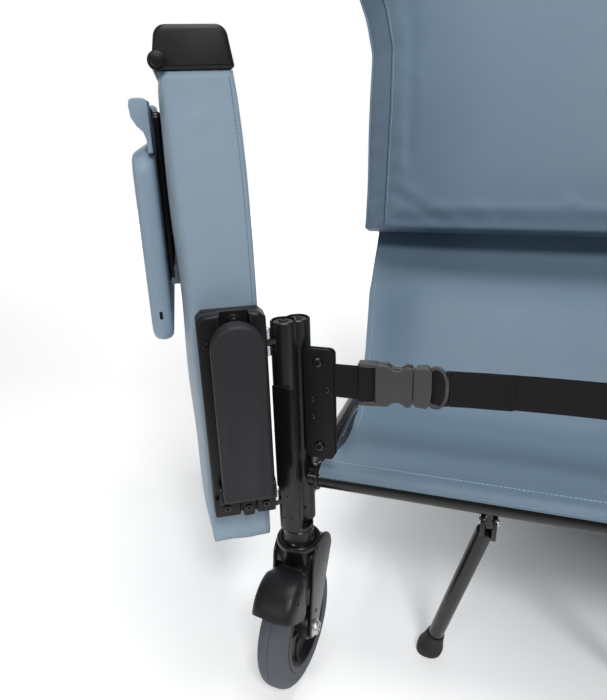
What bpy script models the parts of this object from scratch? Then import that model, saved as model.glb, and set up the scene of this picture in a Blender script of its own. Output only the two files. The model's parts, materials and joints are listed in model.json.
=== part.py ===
"""Medical recliner on casters, with swing-away arms, folding side trays and a reclining back.

Metres, +Z up. The sitter faces -Y, and the sitter's right side is at -X. Lengths are measured
from the line through the two front posts, and the whole chair is centred on the floor at the end.
"""

import math

import bmesh
import bpy
from mathutils import Matrix, Vector

# Fits and shared stock
FIT_GAP = 0.0003
TUBE_RADIUS = 0.0127
SIDES = (("right", -1), ("left", 1))
ROUND_SIDES = 12
WHEEL_STEPS = 24
SHARP_ANGLE = math.radians(35)
EDGE_CREASE = 0.7

# Chair base
POST_HALF_SPAN = 0.290
WHEELBASE = 0.700
POST_HEIGHT = 0.2507
TWIN_OUT = 0.0035
TWIN_FORWARD = 0.0115
TUBE_END_WALL = 0.002
TUBE_END_DEPTH = 0.003
RAIL_RISE = 0.0257
SEAT_TUBE_RISE = 0.0667
REAR_POST_HEIGHT = 0.085
REAR_TUBE_RISE = 0.0457
FLANGE_RADIUS = 0.016
FLANGE_THICKNESS = 0.004
FLANGE_FROM_END = 0.009

# Casters
WHEEL_RADIUS = 0.0762
TYRE_DEPTH = 0.022
TYRE_WIDTH = 0.036
TREAD_FLAT = 0.020
TYRE_SHOULDER = 0.007
RIM_LIP = 0.008
HUB_BOSS_RADIUS = 0.016
HUB_WEB = 0.012
CASTER_TRAIL = 0.022
CASTER_SWIVEL = math.radians(5)
FORK_SIDE_GAP = 0.005
FORK_LEG_THICKNESS = 0.004
FORK_EYE_RADIUS = 0.013
CROWN_RADIUS = 0.027
CROWN_THICKNESS = 0.030
NECK_RADIUS = 0.018
NECK_HEIGHT = 0.0215
BRIDGE_THICKNESS = 0.008
BRIDGE_HALF_LENGTH = 0.020
FORK_SHOULDER_RADIUS = 0.029
WHEEL_TO_CROWN = 0.0079
STEM_RADIUS = 0.006
STEM_LENGTH = 0.020
AXLE_RADIUS = 0.005
AXLE_HEAD_RADIUS = 0.009
AXLE_HEAD = 0.006
FENDER_GAP = 0.002
FENDER_THICKNESS = 0.0025
FENDER_SKIRT = 0.032
FENDER_LOW_ANGLE = math.radians(46)
FENDER_HIGH_ANGLE = math.radians(92)
FENDER_STRAP_HALF_WIDTH = 0.014
FENDER_ROWS = 12

# Arm hinge on the front post
HINGE_OUT = 0.0155
HINGE_FORWARD = 0.028
HINGE_PIN_RADIUS = 0.002
HINGE_KNUCKLE_RADIUS = 0.0045
HINGE_KNUCKLE_END = 0.002
HINGE_LUG_HALF_WIDTH = 0.0045
HINGE_LUG_THICKNESS = 0.006
HINGE_PIN_REACH = 0.010
UPPER_LUG_RISE = 0.187
LEAF_TO_KNUCKLE = 0.001
LEAF_WIDTH = 0.014
LEAF_THICKNESS = 0.0025
LEAF_RISE = 0.040
LEAF_HEIGHT = 0.130

# Swing-away arm: u runs outward, v runs back along the arm
ARM_OPEN = math.radians(30)
PANEL_INNER = 0.0065
PANEL_THICKNESS = 0.0745
PANEL_LEAN = 0.008
PANEL_FRONT = 0.0108
PANEL_LENGTH = 0.450
PANEL_BOTTOM = 0.1998
PANEL_HEIGHT = 0.501
PANEL_DRAW = 0.003
PANEL_CUTS = (1, 3, 4)
HOUSING_INNER = 0.0015
HOUSING_WIDTH = 0.0685
HOUSING_DEPTH = 0.027
HOUSING_BOTTOM = 0.2578
HOUSING_HEIGHT = 0.227
HOUSING_BEVEL = 0.004
NOTCH_WIDTH = 0.028
NOTCH_DEPTH = 0.016
NOTCH_HEIGHT = 0.023
PADDLE_INSET = 0.0045
PADDLE_WIDTH = 0.053
PADDLE_HEIGHT = 0.1945
PADDLE_THICKNESS = 0.0205
PADDLE_STANDOFF = 0.0015
PADDLE_BOTTOM_RISE = 0.027
PADDLE_PIVOT_RISE = 0.0335
PADDLE_PIN_RADIUS = 0.0025
EAR_THICKNESS = 0.0034
EAR_DEPTH = 0.018
EAR_HEIGHT = 0.022
CAP_INSET = 0.001
CAP_WIDTH = 0.072
CAP_HEIGHT = 0.0357
CAP_NOSE = 0.002
CAP_TAIL = 0.005
CAP_CORNER = 0.015
KNOB_RADIUS = 0.008
KNOB_LENGTH = 0.010
KNOB_RISE = 0.0075
KNOB_INSET = 0.0055

# Side tray that folds up from the arm
TRAY_PLATE_THICKNESS = 0.004
TRAY_PLATE_DROP = 0.030
TRAY_PLATE_HEIGHT = 0.190
TRAY_PLATE_LENGTH = 0.200
TRAY_SPACER_HEIGHT = 0.022
TRAY_PIN_RADIUS = 0.003
TRAY_KNUCKLE_RADIUS = 0.0055
TRAY_EYE_LENGTH = 0.014
TRAY_LENGTH = 0.340
TRAY_WIDTH = 0.228
TRAY_DEPTH = 0.0225
TRAY_WALL = 0.004
TRAY_BEVEL = 0.010
TRAY_EDGE_DROP = 0.0065

# Folding prop legs under the front seat tube
PROP_SPACING = 0.150
PROP_SPLAY = 0.060
PROP_RAKE = 0.055
PROP_RADIUS = 0.0095
PROP_PIVOT_DROP = 0.0105
PROP_PIN_RADIUS = 0.003
PROP_TONGUE = 0.006
PROP_SLOT_DEPTH = 0.018
FERRULE_RADIUS = 0.0165
FERRULE_WALL = 0.004
FERRULE_LENGTH = 0.042
FERRULE_FOOT = 0.006

# Lap strap
STRAP_WIDTH = 0.038
STRAP_THICKNESS = 0.0022
STRAP_Z = 0.3998
STRAP_BOW = 0.018
STRAP_ROWS = 20
BELT_PLATE_THICKNESS = 0.003
BELT_PLATE_OUTER = 0.014
BELT_PLATE_WIDTH = 0.033
BELT_PLATE_BOTTOM = 0.3048
BELT_PLATE_HEIGHT = 0.130
BELT_RIVET_FROM_EDGE = 0.0165
BELT_RIVET_RADIUS = 0.0045
BELT_RIVET_INSET = 0.0022
BUCKLE_FROM_POST = 0.073
SOCKET_LENGTH = 0.056
PLUG_LENGTH = 0.036
BUCKLE_WIDTH = 0.048
BUCKLE_THICKNESS = 0.013
TONGUE_LENGTH = 0.034
TONGUE_WIDTH = 0.030
TONGUE_THICKNESS = 0.005
BUCKLE_BEVEL = 0.004

# Sling seat
SLING_THICKNESS = 0.0035
SLING_SIDE_GAP = 0.0012
SLING_REAR_HALF_WIDTH = 0.308
SLING_SEAT_HALF_WIDTH = 0.268
SLING_SAG = 0.020
SLING_SPLIT_Y = 0.318
SLING_SPLIT_GAP = 0.0006
SLING_DIP = ((0.035, 0.2863), (0.100, 0.2698), (0.200, 0.2568), (0.300, 0.2718), (0.400, 0.3378),
             (0.495, 0.4218))
SLING_COLUMNS = 8
WRAP_LOW_ANGLE = math.radians(40)
WRAP_TOP_ANGLE = math.radians(100)
REAR_WRAP_LOW = math.radians(43)
REAR_WRAP_TOP = math.radians(150)
WRAP_STEPS = 9
TAB_THICKNESS = 0.002
TAB_FROM_POST = 0.0335
TAB_LOW_RISE = 0.012
TAB_RISE = 0.080
TAB_TAPER = 0.45
TAB_LENGTH = 0.150

# Recline pivot and back uprights
PIVOT_Y = 0.300
PIVOT_Z = 0.2278
BRACKET_THICKNESS = 0.0053
BRACKET_HALF_LENGTH = 0.030
BRACKET_HALF_HEIGHT = 0.024
PIVOT_BOLT_RADIUS = 0.005
UPRIGHT_INSET = 0.040
EYE_RADIUS = 0.017
EYE_HALF_WIDTH = 0.013
UPRIGHT_KNEE = ((0.400, 0.2628), (0.500, 0.3378), (0.548, 0.3928))
UPRIGHT_STRAIGHT_FROM = -0.030
BEND_RADIUS = 0.060
BEND_SHARE = 0.48

# Back rest: d runs back through the cushion, h runs up along it
BACK_LEAN = math.radians(17)
BACK_Y = 0.445
BACK_Z = 0.4808
CUSHION_HEIGHT = 0.760
CUSHION_THICKNESS = 0.075
CUSHION_CROWN = 0.012
CUSHION_DRAW = 0.010
CUSHION_WAIST = ((0.00, 0.325), (0.20, 0.330), (0.30, 0.335), (0.36, 0.350), (0.44, 0.380), (0.54, 0.395),
                 (0.76, 0.395))
CUSHION_CUTS = (5, 1, 7)
CUSHION_BORDER_DEPTH = 0.028
SEAM_POWER = 0.32
CORNER_RADIUS = 0.080
BOARD_THICKNESS = 0.0077
BOARD_FOOT = 0.035
BOARD_INSET = 0.025
BATTEN_HALF_WIDTH = 0.020
BATTEN_HEIGHT = 0.050
BATTEN_LOW = 0.130
BATTEN_HIGH = 0.480
BOARD_LEVELS = 14
LOWER_TUBE_SETBACK = 0.008
SADDLE_HALF_WIDTH = 0.012
SADDLE_HALF_HEIGHT = 0.006
UPRIGHT_TOP = 0.620
HANDLE_RADIUS = 0.011
HANDLE_RISE = 0.120
HANDLE_SETBACK = 0.095
HANDLE_BEND = 0.050

# Recline release lever under the push handle
LEVER_FROM_CENTRE = 0.065
LEVER_LENGTH = 0.120
LEVER_WIDTH = 0.014
LEVER_THICKNESS = 0.006
LEVER_DROP = 0.030
LEVER_SPLAY = math.radians(9)
LEVER_PIN_RADIUS = 0.003
LEVER_CHEEK = 0.003
LEVER_HEAD_RADIUS = 0.008

# Gas spring between the rear cross tube and the recline cross tube
SPRING_REAR_Y = 0.680
SPRING_REAR_Z = 0.1728
SPRING_ARM_Y = 0.035
SPRING_ARM_Z = -0.111
SPRING_RADIUS = 0.011
SPRING_ROD_RADIUS = 0.004
SPRING_BODY_LENGTH = 0.230
SPRING_ROD_INSIDE = 0.110
SPRING_PIN_RADIUS = 0.004
SPRING_LUG_HALF = 0.003
SPRING_LUG_RADIUS = 0.011
SPRING_CLEVIS_HALF = 0.009
SPRING_CLEVIS_LENGTH = 0.018
SPRING_OPEN_PLAY = 0.005

# Heights and places that follow from the sizes above
CROWN_BOTTOM = 2 * WHEEL_RADIUS + WHEEL_TO_CROWN
CROWN_TOP = CROWN_BOTTOM + CROWN_THICKNESS
NECK_TOP = CROWN_TOP + NECK_HEIGHT
POST_FOOT = NECK_TOP + FIT_GAP
POST_TOP = POST_FOOT + POST_HEIGHT
RAIL_Z = POST_FOOT + RAIL_RISE
SEAT_TUBE_Z = POST_FOOT + SEAT_TUBE_RISE
REAR_TUBE_Z = POST_FOOT + REAR_TUBE_RISE
FORK_INNER = TYRE_WIDTH / 2 + FORK_SIDE_GAP
FORK_OUTER = FORK_INNER + FORK_LEG_THICKNESS
SEAT_TUBE_END = POST_HALF_SPAN - TWIN_OUT - TUBE_RADIUS - FIT_GAP
FLANGE_END = SEAT_TUBE_END - FLANGE_FROM_END
SLING_FRONT_HALF_WIDTH = FLANGE_END - FLANGE_THICKNESS - SLING_SIDE_GAP
BELT_PLATE_Y = TWIN_FORWARD - TUBE_RADIUS - FIT_GAP
STRAP_Y = BELT_PLATE_Y + FIT_GAP + STRAP_THICKNESS / 2
BELT_BACK_Y = STRAP_Y + STRAP_THICKNESS / 2 + FIT_GAP
BELT_PLATE_END = POST_HALF_SPAN - BELT_PLATE_OUTER - BELT_PLATE_WIDTH
STRAP_END = POST_HALF_SPAN - BELT_PLATE_OUTER - BELT_RIVET_FROM_EDGE - BELT_RIVET_RADIUS
LOWER_TUBE_D = CUSHION_THICKNESS + LOWER_TUBE_SETBACK + TUBE_RADIUS
UPRIGHT_D = LOWER_TUBE_D + 2 * TUBE_RADIUS + FIT_GAP
BOARD_D = CUSHION_THICKNESS + FIT_GAP
UPRIGHT_FROM_CENTRE = POST_HALF_SPAN - UPRIGHT_INSET
PANEL_TOP = PANEL_BOTTOM + PANEL_HEIGHT

PARTS = bpy.data.collections.new("medical_recliner")
CUTTERS = bpy.data.collections.new("cutters")


def reset_scene():
    """Empty the scene and add one collection for the parts and one for the cutters."""
    for obj in list(bpy.data.objects):
        bpy.data.objects.remove(obj, do_unlink=True)
    for collection in (PARTS, CUTTERS):
        bpy.context.scene.collection.children.link(collection)


def finish_material(name, colour, roughness, metallic=0.0):
    """A Principled material with one colour, roughness and metallic value."""
    material = bpy.data.materials.new(name)
    material.use_nodes = True
    shader = material.node_tree.nodes["Principled BSDF"]
    shader.inputs["Base Color"].default_value = (*colour, 1.0)
    shader.inputs["Roughness"].default_value = roughness
    shader.inputs["Metallic"].default_value = metallic
    return material


def axis(name, location, parent=None, rotation=(0.0, 0.0, 0.0)):
    """An empty on a joint's axis, or at a frame that pieces are placed in."""
    empty = bpy.data.objects.new(name, None)
    empty.empty_display_size = 0.03
    empty.location = location
    empty.rotation_euler = rotation
    empty.parent = parent
    PARTS.objects.link(empty)
    return empty


def part(obj, material, parent):
    """Give a piece its material, its smooth shading and the frame it sits in."""
    obj.data.materials.append(material)
    obj.parent = parent
    if obj.type == "MESH":
        obj.data.shade_smooth()
        obj.data.set_sharp_from_angle(angle=SHARP_ANGLE)
    return obj


def from_bmesh(name, bm):
    """Turn a bmesh into an object in the parts collection."""
    bm.normal_update()
    bmesh.ops.recalc_face_normals(bm, faces=bm.faces)
    mesh = bpy.data.meshes.new(name)
    bm.to_mesh(mesh)
    bm.free()
    obj = bpy.data.objects.new(name, mesh)
    PARTS.objects.link(obj)
    return obj


def block(name, low, high, bevel=0.0, segments=2):
    """A box between two corners, with rounded edges where a bevel is given."""
    centre = (Vector(low) + Vector(high)) / 2
    size = Vector([abs(first - second) for first, second in zip(low, high)])
    bm = bmesh.new()
    bmesh.ops.create_cube(bm, size=1.0)
    for vertex in bm.verts:
        vertex.co = centre + vertex.co * size
    obj = from_bmesh(name, bm)
    if bevel:
        rounding = obj.modifiers.new("rounding", "BEVEL")
        rounding.width = bevel
        rounding.segments = segments
        rounding.limit_method = "ANGLE"
    return obj


def rod(name, start, end, radius, end_radius=None, sides=ROUND_SIDES):
    """A round bar, or a cone, between two points."""
    start, end = Vector(start), Vector(end)
    line = end - start
    turn = line.to_track_quat("Z", "Y").to_matrix().to_4x4()
    bm = bmesh.new()
    bmesh.ops.create_cone(
        bm, cap_ends=True, segments=sides, radius1=radius,
        radius2=radius if end_radius is None else end_radius, depth=line.length,
        matrix=Matrix.Translation((start + end) / 2) @ turn)
    return from_bmesh(name, bm)


def solid(curve):
    """Change a curve object into a closed mesh that can be cut or joined."""
    bpy.context.view_layer.update()
    evaluated = curve.evaluated_get(bpy.context.evaluated_depsgraph_get())
    mesh = bpy.data.meshes.new_from_object(evaluated)
    bm = bmesh.new()
    bm.from_mesh(mesh)
    bpy.data.meshes.remove(mesh)
    bmesh.ops.remove_doubles(bm, verts=bm.verts, dist=1e-6)
    name, placed = curve.name, curve.matrix_world.copy()
    bpy.data.objects.remove(curve, do_unlink=True)
    obj = from_bmesh(name, bm)
    obj.data.transform(placed)
    return obj


def bent_tube(name, points, radius, resolution=3):
    """A round tube along a list of points, with filled ends."""
    data = bpy.data.curves.new(name, "CURVE")
    data.dimensions = "3D"
    data.bevel_depth = radius
    data.bevel_resolution = resolution
    data.use_fill_caps = True
    spline = data.splines.new("POLY")
    spline.points.add(len(points) - 1)
    for target, point in zip(spline.points, points):
        target.co = (*point, 1.0)
    obj = bpy.data.objects.new(name, data)
    PARTS.objects.link(obj)
    return obj


def plate(name, outline, thickness, placed):
    """A flat plate: an outline in a plane, extruded both ways and placed by a matrix."""
    data = bpy.data.curves.new(name, "CURVE")
    data.dimensions = "2D"
    data.fill_mode = "BOTH"
    data.extrude = thickness / 2
    spline = data.splines.new("POLY")
    spline.points.add(len(outline) - 1)
    spline.use_cyclic_u = True
    for target, (first, second) in zip(spline.points, outline):
        target.co = (first, second, 0.0, 1.0)
    obj = bpy.data.objects.new(name, data)
    obj.matrix_world = placed
    PARTS.objects.link(obj)
    return solid(obj)


def plane_yz(x):
    """The matrix that stands an outline's plane up on Y and Z at one X."""
    return Matrix(((0, 0, 1, x), (1, 0, 0, 0), (0, 1, 0, 0), (0, 0, 0, 1)))


def plane_xz(y):
    """The matrix that stands an outline's plane up on X and Z at one Y."""
    return Matrix(((1, 0, 0, 0), (0, 0, -1, y), (0, 1, 0, 0), (0, 0, 0, 1)))


def arc(centre, radius, start, end, steps):
    """Points of an arc in a plane, from one angle to another."""
    points = []
    for step in range(steps + 1):
        angle = start + (end - start) * step / steps
        points.append((centre[0] + radius * math.cos(angle), centre[1] + radius * math.sin(angle)))
    return points


def rounded_path(corners, radius, steps=4):
    """A path whose inner corners are rounded off."""
    corners = [Vector(corner) for corner in corners]
    points = [corners[0]]
    for before, corner, after in zip(corners, corners[1:], corners[2:]):
        into, out = corner - before, after - corner
        cut = radius * math.tan(into.angle(out) / 2)
        cut = min(cut, into.length * BEND_SHARE, out.length * BEND_SHARE)
        start = corner - into.normalized() * cut
        end = corner + out.normalized() * cut
        for step in range(steps + 1):
            share = step / steps
            points.append(start.lerp(corner, share).lerp(corner.lerp(end, share), share))
    points.append(corners[-1])
    return points


def smooth_curve(points, per_span):
    """Points of a smooth curve through the given points."""
    points = [Vector(point) for point in points]
    ends = [2 * points[0] - points[1]] + points + [2 * points[-1] - points[-2]]
    result = []
    for first, second, third, fourth in zip(ends, ends[1:], ends[2:], ends[3:]):
        for step in range(per_span):
            t = step / per_span
            result.append(0.5 * (2 * second + (third - first) * t
                                 + (2 * first - 5 * second + 4 * third - fourth) * t * t
                                 + (3 * second - first - 3 * third + fourth) * t ** 3))
    result.append(points[-1])
    return result


def step_between(table, at):
    """A value read from a table of (position, value) rows, eased between the rows."""
    for (low, first), (high, second) in zip(table, table[1:]):
        if at <= high:
            share = max(0.0, (at - low) / (high - low))
            return first + (second - first) * share * share * (3 - 2 * share)
    return table[-1][1]


def sheet(name, columns, rows, surface, thickness):
    """A thin closed sheet: surface(across, along) gives its middle for shares from 0 to 1."""
    bm = bmesh.new()
    bmesh.ops.create_grid(bm, x_segments=columns, y_segments=rows, size=0.5)
    for vertex in bm.verts:
        vertex.co = surface(vertex.co.x + 0.5, vertex.co.y + 0.5)
    obj = from_bmesh(name, bm)
    wall = obj.modifiers.new("wall", "SOLIDIFY")
    wall.thickness = thickness
    wall.offset = 0.0
    return obj


def soft_form(name, cuts, shape):
    """A padded form: a cage from a cut-up cube, shaped by a formula and subdivided once."""
    bm = bmesh.new()
    bmesh.ops.create_cube(bm, size=2.0)
    for along in range(3):
        if cuts[along]:
            edges = [edge for edge in bm.edges
                     if abs(edge.verts[0].co[along] - edge.verts[1].co[along]) > 1e-6]
            bmesh.ops.subdivide_edges(bm, edges=edges, cuts=cuts[along], use_grid_fill=True)
    crease = bm.edges.layers.float.new("crease_edge")
    for edge in bm.edges:
        first, second = (vertex.co for vertex in edge.verts)
        shared = [abs(a) == 1 and a == b for a, b in zip(first, second)]
        edge[crease] = EDGE_CREASE if sum(shared) == 2 else 0.0
    for vertex in bm.verts:
        vertex.co = shape(*vertex.co)
    obj = from_bmesh(name, bm)
    smoothing = obj.modifiers.new("smoothing", "SUBSURF")
    smoothing.levels = 1
    smoothing.render_levels = 1
    return obj


def turned(name, profile):
    """A ring turned about local Z from a closed (radius, height) profile, outer side first."""
    count = len(profile)
    mesh = bpy.data.meshes.new(name)
    edges = [(index, (index + 1) % count) for index in range(count)]
    mesh.from_pydata([(radius, 0.0, height) for radius, height in profile], edges, [])
    obj = bpy.data.objects.new(name, mesh)
    PARTS.objects.link(obj)
    turn = obj.modifiers.new("turn", "SCREW")
    turn.steps = WHEEL_STEPS
    turn.render_steps = WHEEL_STEPS
    turn.use_merge_vertices = True
    turn.merge_threshold = 1e-5
    turn.use_smooth_shade = True
    return obj


def boolean(target, tool, operation):
    """Join a tool shape to a piece, or cut it out; the tool stays among the cutters."""
    change = target.modifiers.new(tool.name, "BOOLEAN")
    change.operation = operation
    change.object = tool
    tool.parent = target
    PARTS.objects.unlink(tool)
    CUTTERS.objects.link(tool)
    tool.hide_render = True
    tool.display_type = "WIRE"


def join(target, *tools):
    """Fuse shapes of one piece of metal or moulding."""
    for tool in tools:
        boolean(target, tool, "UNION")


def cut(target, *tools):
    """Cut shapes out of a piece."""
    for tool in tools:
        boolean(target, tool, "DIFFERENCE")


def build_front_post(name, side, chair, finish):
    """Twin-tube front post with the arm's hinge lugs, pins and leaf, and the caster's socket."""
    middle = side * POST_HALF_SPAN
    front = (middle + side * TWIN_OUT, -TWIN_FORWARD)
    rear = (middle - side * TWIN_OUT, TWIN_FORWARD)
    post = rod(f"{name}_front_post", (*front, POST_FOOT), (*front, POST_TOP), TUBE_RADIUS)
    join(post, rod(f"{name}_post_twin", (*rear, POST_FOOT), (*rear, POST_TOP), TUBE_RADIUS))
    hinge_x = side * (POST_HALF_SPAN + HINGE_OUT)
    along = Vector((front[0] - hinge_x, front[1] + HINGE_FORWARD, 0))
    outline = [(along.length, -HINGE_LUG_HALF_WIDTH), (along.length, HINGE_LUG_HALF_WIDTH)]
    outline += arc((0, 0), HINGE_LUG_HALF_WIDTH, math.pi / 2, 3 * math.pi / 2, 6)
    turn = Matrix.Rotation(math.atan2(along.y, along.x), 4, "Z")
    for level, (lug_low, pin_low) in enumerate(hinge_levels()):
        lug_high = lug_low + HINGE_LUG_THICKNESS
        place = Matrix.Translation((hinge_x, -HINGE_FORWARD, (lug_low + lug_high) / 2)) @ turn
        lug = plate(f"{name}_hinge_lug_{level}", outline, HINGE_LUG_THICKNESS, place)
        pin = rod(f"{name}_hinge_pin_{level}", (hinge_x, -HINGE_FORWARD, pin_low),
                  (hinge_x, -HINGE_FORWARD, lug_high + HINGE_PIN_REACH), HINGE_PIN_RADIUS)
        join(post, lug, pin)
    leaf_low = POST_FOOT + LEAF_RISE
    leaf_radius = LEAF_WIDTH / 2
    leaf_x = hinge_x - side * (HINGE_KNUCKLE_RADIUS + LEAF_TO_KNUCKLE + leaf_radius)
    leaf_top = leaf_low + LEAF_HEIGHT
    outline = [(leaf_x + leaf_radius, leaf_top), (leaf_x - leaf_radius, leaf_top)]
    outline += arc((leaf_x, leaf_low + leaf_radius), leaf_radius, math.pi, 2 * math.pi, 6)
    leaf_y = front[1] - TUBE_RADIUS + 2 * FIT_GAP - LEAF_THICKNESS / 2
    join(post, plate(f"{name}_hinge_leaf", outline, LEAF_THICKNESS, plane_xz(leaf_y)))
    for label, (x, y) in (("front", front), ("rear", rear)):
        cut(post, rod(f"{name}_{label}_tube_end", (x, y, POST_TOP - TUBE_END_DEPTH),
                      (x, y, POST_TOP + TUBE_END_DEPTH), TUBE_RADIUS - TUBE_END_WALL))
    cut(post, stem_socket(f"{name}_post_socket", middle, 0))
    return part(post, finish, chair)


def hinge_levels():
    """Heights of the two hinge lugs' undersides, each with the low end of its pin."""
    low = HOUSING_BOTTOM - FIT_GAP - HINGE_LUG_THICKNESS
    high = HOUSING_BOTTOM + UPPER_LUG_RISE
    return (low, low + FIT_GAP), (high, high - HINGE_PIN_REACH)


def stem_socket(name, x, y):
    """The bore that takes a caster's stem from below."""
    return rod(name, (x, y, POST_FOOT - STEM_LENGTH), (x, y, POST_FOOT + STEM_LENGTH + FIT_GAP),
               STEM_RADIUS + FIT_GAP)


def build_base(chair, steel):
    """Posts, rails and cross tubes that carry the seat, the arms and the back."""
    for name, side in SIDES:
        x = side * POST_HALF_SPAN
        build_front_post(name, side, chair, steel)
        rail_ends = (TWIN_FORWARD + TUBE_RADIUS + FIT_GAP, WHEELBASE - TUBE_RADIUS - FIT_GAP)
        rail = bent_tube(f"{name}_side_rail", [(x, rail_ends[0], RAIL_Z), (x, rail_ends[1], RAIL_Z)],
                         TUBE_RADIUS, 4)
        part(rail, steel, chair)
        rear_post = rod(f"{name}_rear_post", (x, WHEELBASE, POST_FOOT),
                        (x, WHEELBASE, POST_FOOT + REAR_POST_HEIGHT), TUBE_RADIUS)
        cut(rear_post, stem_socket(f"{name}_rear_socket", x, WHEELBASE))
        part(rear_post, steel, chair)
        bracket = block(f"{name}_recline_bracket",
                        (side * bracket_inner(), PIVOT_Y - BRACKET_HALF_LENGTH,
                         PIVOT_Z - BRACKET_HALF_HEIGHT),
                        (side * (bracket_inner() + BRACKET_THICKNESS), PIVOT_Y + BRACKET_HALF_LENGTH,
                         PIVOT_Z + BRACKET_HALF_HEIGHT))
        bolt_end = UPRIGHT_FROM_CENTRE - EYE_HALF_WIDTH + FIT_GAP
        join(bracket, rod(f"{name}_pivot_bolt", (side * (bracket_inner() + FIT_GAP), PIVOT_Y, PIVOT_Z),
                          (side * bolt_end, PIVOT_Y, PIVOT_Z), PIVOT_BOLT_RADIUS))
        part(bracket, steel, chair)
    build_front_tube(chair, steel)
    build_rear_tube(chair, steel)


def bracket_inner():
    """Distance of a recline bracket's inner face from the chair's middle."""
    return POST_HALF_SPAN - TUBE_RADIUS - FIT_GAP - BRACKET_THICKNESS


def build_front_tube(chair, steel):
    """Front seat tube with its end flanges and the tongues that the prop legs hinge on."""
    tube = rod("front_seat_tube", (-SEAT_TUBE_END, 0, SEAT_TUBE_Z), (SEAT_TUBE_END, 0, SEAT_TUBE_Z),
               TUBE_RADIUS)
    for name, side in SIDES:
        join(tube, rod(f"{name}_tube_flange", (side * (FLANGE_END - FLANGE_THICKNESS), 0, SEAT_TUBE_Z),
                       (side * FLANGE_END, 0, SEAT_TUBE_Z), FLANGE_RADIUS))
        x = side * PROP_SPACING / 2
        pivot_z = prop_pivot_z()
        reach = 2 * PROP_PIN_RADIUS
        tongue = block(f"{name}_prop_tongue", (x - PROP_TONGUE / 2, -reach, pivot_z - reach),
                       (x + PROP_TONGUE / 2, reach, SEAT_TUBE_Z))
        pin_half = PROP_RADIUS - 2 * FIT_GAP
        pin = rod(f"{name}_prop_pin", (x - pin_half, 0, pivot_z), (x + pin_half, 0, pivot_z),
                  PROP_PIN_RADIUS)
        join(tube, tongue, pin)
    part(tube, steel, chair)


def build_rear_tube(chair, steel):
    """Rear cross tube with the lug and pin that hold the gas spring's rear end."""
    end = POST_HALF_SPAN - TUBE_RADIUS - FIT_GAP
    tube = rod("rear_cross_tube", (-end, WHEELBASE, REAR_TUBE_Z), (end, WHEELBASE, REAR_TUBE_Z), TUBE_RADIUS)
    lug = link_plate("rear_spring_lug", (WHEELBASE, REAR_TUBE_Z), (SPRING_REAR_Y, SPRING_REAR_Z),
                     SPRING_LUG_RADIUS, 2 * SPRING_LUG_HALF)
    pin = rod("rear_spring_pin", (-SPRING_CLEVIS_HALF, SPRING_REAR_Y, SPRING_REAR_Z),
              (SPRING_CLEVIS_HALF, SPRING_REAR_Y, SPRING_REAR_Z), SPRING_PIN_RADIUS)
    join(tube, lug, pin)
    part(tube, steel, chair)


def link_plate(name, start, end, radius, thickness):
    """A flat link on the chair's middle plane, from a tube's centre to a round end."""
    away = math.atan2(end[1] - start[1], end[0] - start[0])
    outline = arc(end, radius, away - math.pi / 2, away + math.pi / 2, 8)
    outline += [(start[0] + radius * math.cos(away + turn), start[1] + radius * math.sin(away + turn))
                for turn in (math.pi / 2, -math.pi / 2)]
    return plate(name, outline, thickness, plane_yz(0))


def build_caster(name, x, y, swivel, with_fender, chair, finishes):
    """One swivel caster: fork with stem and axle, hub, tyre and, at the front, a fender."""
    pivot = axis(f"{name}_swivel", (x, y, 0), chair, (0, 0, swivel))
    axle = axis(f"{name}_axle", (0, -CASTER_TRAIL, WHEEL_RADIUS), pivot)
    fork = rod(f"{name}_fork", (0, 0, CROWN_BOTTOM), (0, 0, CROWN_TOP), CROWN_RADIUS)
    neck = rod(f"{name}_neck", (0, 0, CROWN_TOP - FIT_GAP), (0, 0, NECK_TOP), NECK_RADIUS)
    stem = rod(f"{name}_stem", (0, 0, NECK_TOP - FIT_GAP), (0, 0, NECK_TOP + STEM_LENGTH), STEM_RADIUS)
    bridge = block(f"{name}_bridge", (-FORK_OUTER, -BRIDGE_HALF_LENGTH, CROWN_BOTTOM),
                   (FORK_OUTER, BRIDGE_HALF_LENGTH, CROWN_BOTTOM + BRIDGE_THICKNESS))
    join(fork, neck, stem, bridge)
    lean = math.atan2(CASTER_TRAIL, CROWN_BOTTOM - WHEEL_RADIUS)
    shoulder = (FORK_SHOULDER_RADIUS - BRIDGE_HALF_LENGTH, CROWN_BOTTOM)
    for label, side in SIDES:
        outline = arc(shoulder, FORK_SHOULDER_RADIUS, math.pi, 0, 10)
        outline += arc((-CASTER_TRAIL, WHEEL_RADIUS), FORK_EYE_RADIUS, -lean, -lean - math.pi, 8)
        leg_x = side * (FORK_INNER + FORK_LEG_THICKNESS / 2)
        leg = plate(f"{name}_{label}_leg", outline, FORK_LEG_THICKNESS, plane_yz(leg_x))
        head = rod(f"{name}_{label}_axle_head", (side * (FORK_OUTER - FIT_GAP), -CASTER_TRAIL, WHEEL_RADIUS),
                   (side * (FORK_OUTER + AXLE_HEAD), -CASTER_TRAIL, WHEEL_RADIUS), AXLE_HEAD_RADIUS, sides=6)
        join(fork, leg, head)
    join(fork, rod(f"{name}_axle_bolt", (-FORK_OUTER, -CASTER_TRAIL, WHEEL_RADIUS),
                   (FORK_OUTER, -CASTER_TRAIL, WHEEL_RADIUS), AXLE_RADIUS))
    part(fork, finishes["steel"], pivot)
    if with_fender:
        build_fender(name, pivot, finishes["plastic"])
    build_wheel(name, axle, finishes)


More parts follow.
